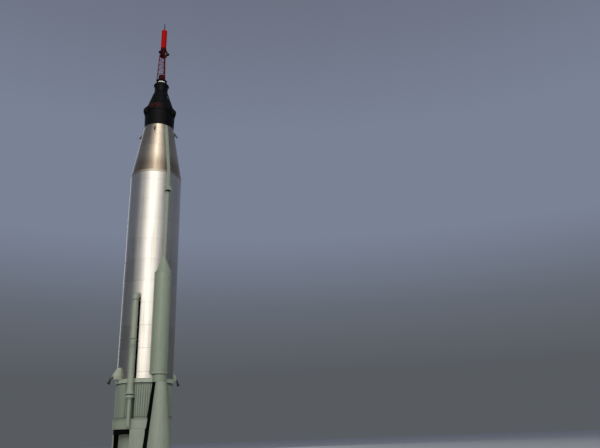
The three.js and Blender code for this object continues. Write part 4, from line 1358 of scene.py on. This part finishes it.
cameraPlace = {"distance": 34.48, "height": 1.46, "azimuth": -27, "yaw": 14.93, "pitch": 19.97, "roll": -2.01,
               "focalPixels": 585, "frameWidth": 600, "sensor": 36}
studio = {"floor": 260, "floorTint": tint(196, 196, 194), "horizon": tint(88, 92, 97),
          "low": tint(100, 106, 116), "high": tint(122, 130, 150), "top": tint(108, 114, 130),
          "stops": [(0, "horizon"), (0.10, "horizon"), (0.20, "low"), (0.32, "high"), (0.48, "high"),
                    (0.66, "top")]}
softbox = {"distance": 48, "colour": (1, 0.985, 0.955),
           "rows": [(-41, 5, 56, 1, 1), (-34, 56, 104, 0.84, 1.04)],
           "panels": [(0, 28, 2.5), (-21, 14, 1.3), (21, 14, 1.75), (-35, 14, 0.6), (35, 14, 0.95),
                      (-50, 16, 0.35), (50, 16, 0.45)]}


def floorAndSky():
    floor = added(bpy.ops.mesh.primitive_circle_add, vertices=128, radius=studio["floor"], fill_type="NGON")
    floor.name = "studioFloor"
    pale = Finish("paleFloor", roughness=0.8)
    pale.show("Base Color", pale.lit(studio["floorTint"], 0.97 + 0.05 * pale.noise(0.6)))
    coated(pale.material, floor)
    world = bpy.data.worlds.new("studioSky")
    bpy.context.scene.world = world
    world.use_nodes = True
    tree = world.node_tree
    place = tree.nodes.new("ShaderNodeTexCoord")
    split = tree.nodes.new("ShaderNodeSeparateXYZ")
    ramp = tree.nodes.new("ShaderNodeValToRGB")
    while len(ramp.color_ramp.elements) < len(studio["stops"]):
        ramp.color_ramp.elements.new(0.5)
    for element, (position, name) in zip(ramp.color_ramp.elements, studio["stops"]):
        element.position = position
        element.color = studio[name]
    tree.links.new(place.outputs["Generated"], split.inputs[0])
    tree.links.new(split.outputs[2], ramp.inputs[0])
    tree.links.new(ramp.outputs[0], tree.nodes["Background"].inputs["Color"])


def panel(name, azimuth, distance, width, height, radiance, colour, lift):
    way = radians(azimuth)
    middle = Vector((distance * sin(way), -distance * cos(way), height / 2 + lift))
    aim = Vector((0, 0, middle.z)) - middle
    bpy.ops.object.light_add(type="AREA", location=middle, rotation=aim.to_track_quat("-Z", "Y").to_euler())
    light = bpy.context.object
    light.name = name
    light.data.shape = "RECTANGLE"
    light.data.size = width
    light.data.size_y = height
    light.data.energy = radiance * pi * width * height
    light.data.color = colour
    light.visible_camera = False
    return light


def lights():
    deselect()
    distance, colour = values(softbox, "distance", "colour")
    for azimuth, low, high, share, gain in softbox["rows"]:  # a bright middle that fades to both sides
        for offset, span, radiance in softbox["panels"]:
            width = 2 * distance * tan(radians(share * span / 2))
            panel("softbox", azimuth + share * offset, distance, width, high - low, gain * radiance, colour,
                  low)
    panel("softboxGlint", -37, distance - 1, 4, 48, 3, colour, 56)
    for name, azimuth, width in (("softboxBack", 176, 17), ("softboxFill", 150, 50)):
        light = panel(name, azimuth, 60, width, 66, 0.8, (0.95, 0.97, 1), 4)
    light.visible_glossy = False


def photoCamera():
    distance, azimuth, yaw, pitch, roll = values(cameraPlace, "distance", "azimuth", "yaw", "pitch", "roll")
    aim = Matrix.Rotation(radians(azimuth - yaw), 3, "Z") @ Matrix.Rotation(radians(90 + pitch), 3, "X")
    aim = aim @ Matrix.Rotation(radians(roll), 3, "Z")
    way = radians(azimuth)
    place = (distance * sin(way), -distance * cos(way), cameraPlace["height"])
    bpy.ops.object.camera_add(location=place, rotation=aim.to_euler())
    camera = bpy.context.object
    camera.data.sensor_width = cameraPlace["sensor"]
    camera.data.lens = cameraPlace["sensor"] * cameraPlace["focalPixels"] / cameraPlace["frameWidth"]
    camera.data.clip_end = 1000
    bpy.context.scene.camera = camera
    bpy.context.scene.view_settings.view_transform = "Standard"


print("studio")
floorAndSky()
lights()
photoCamera()
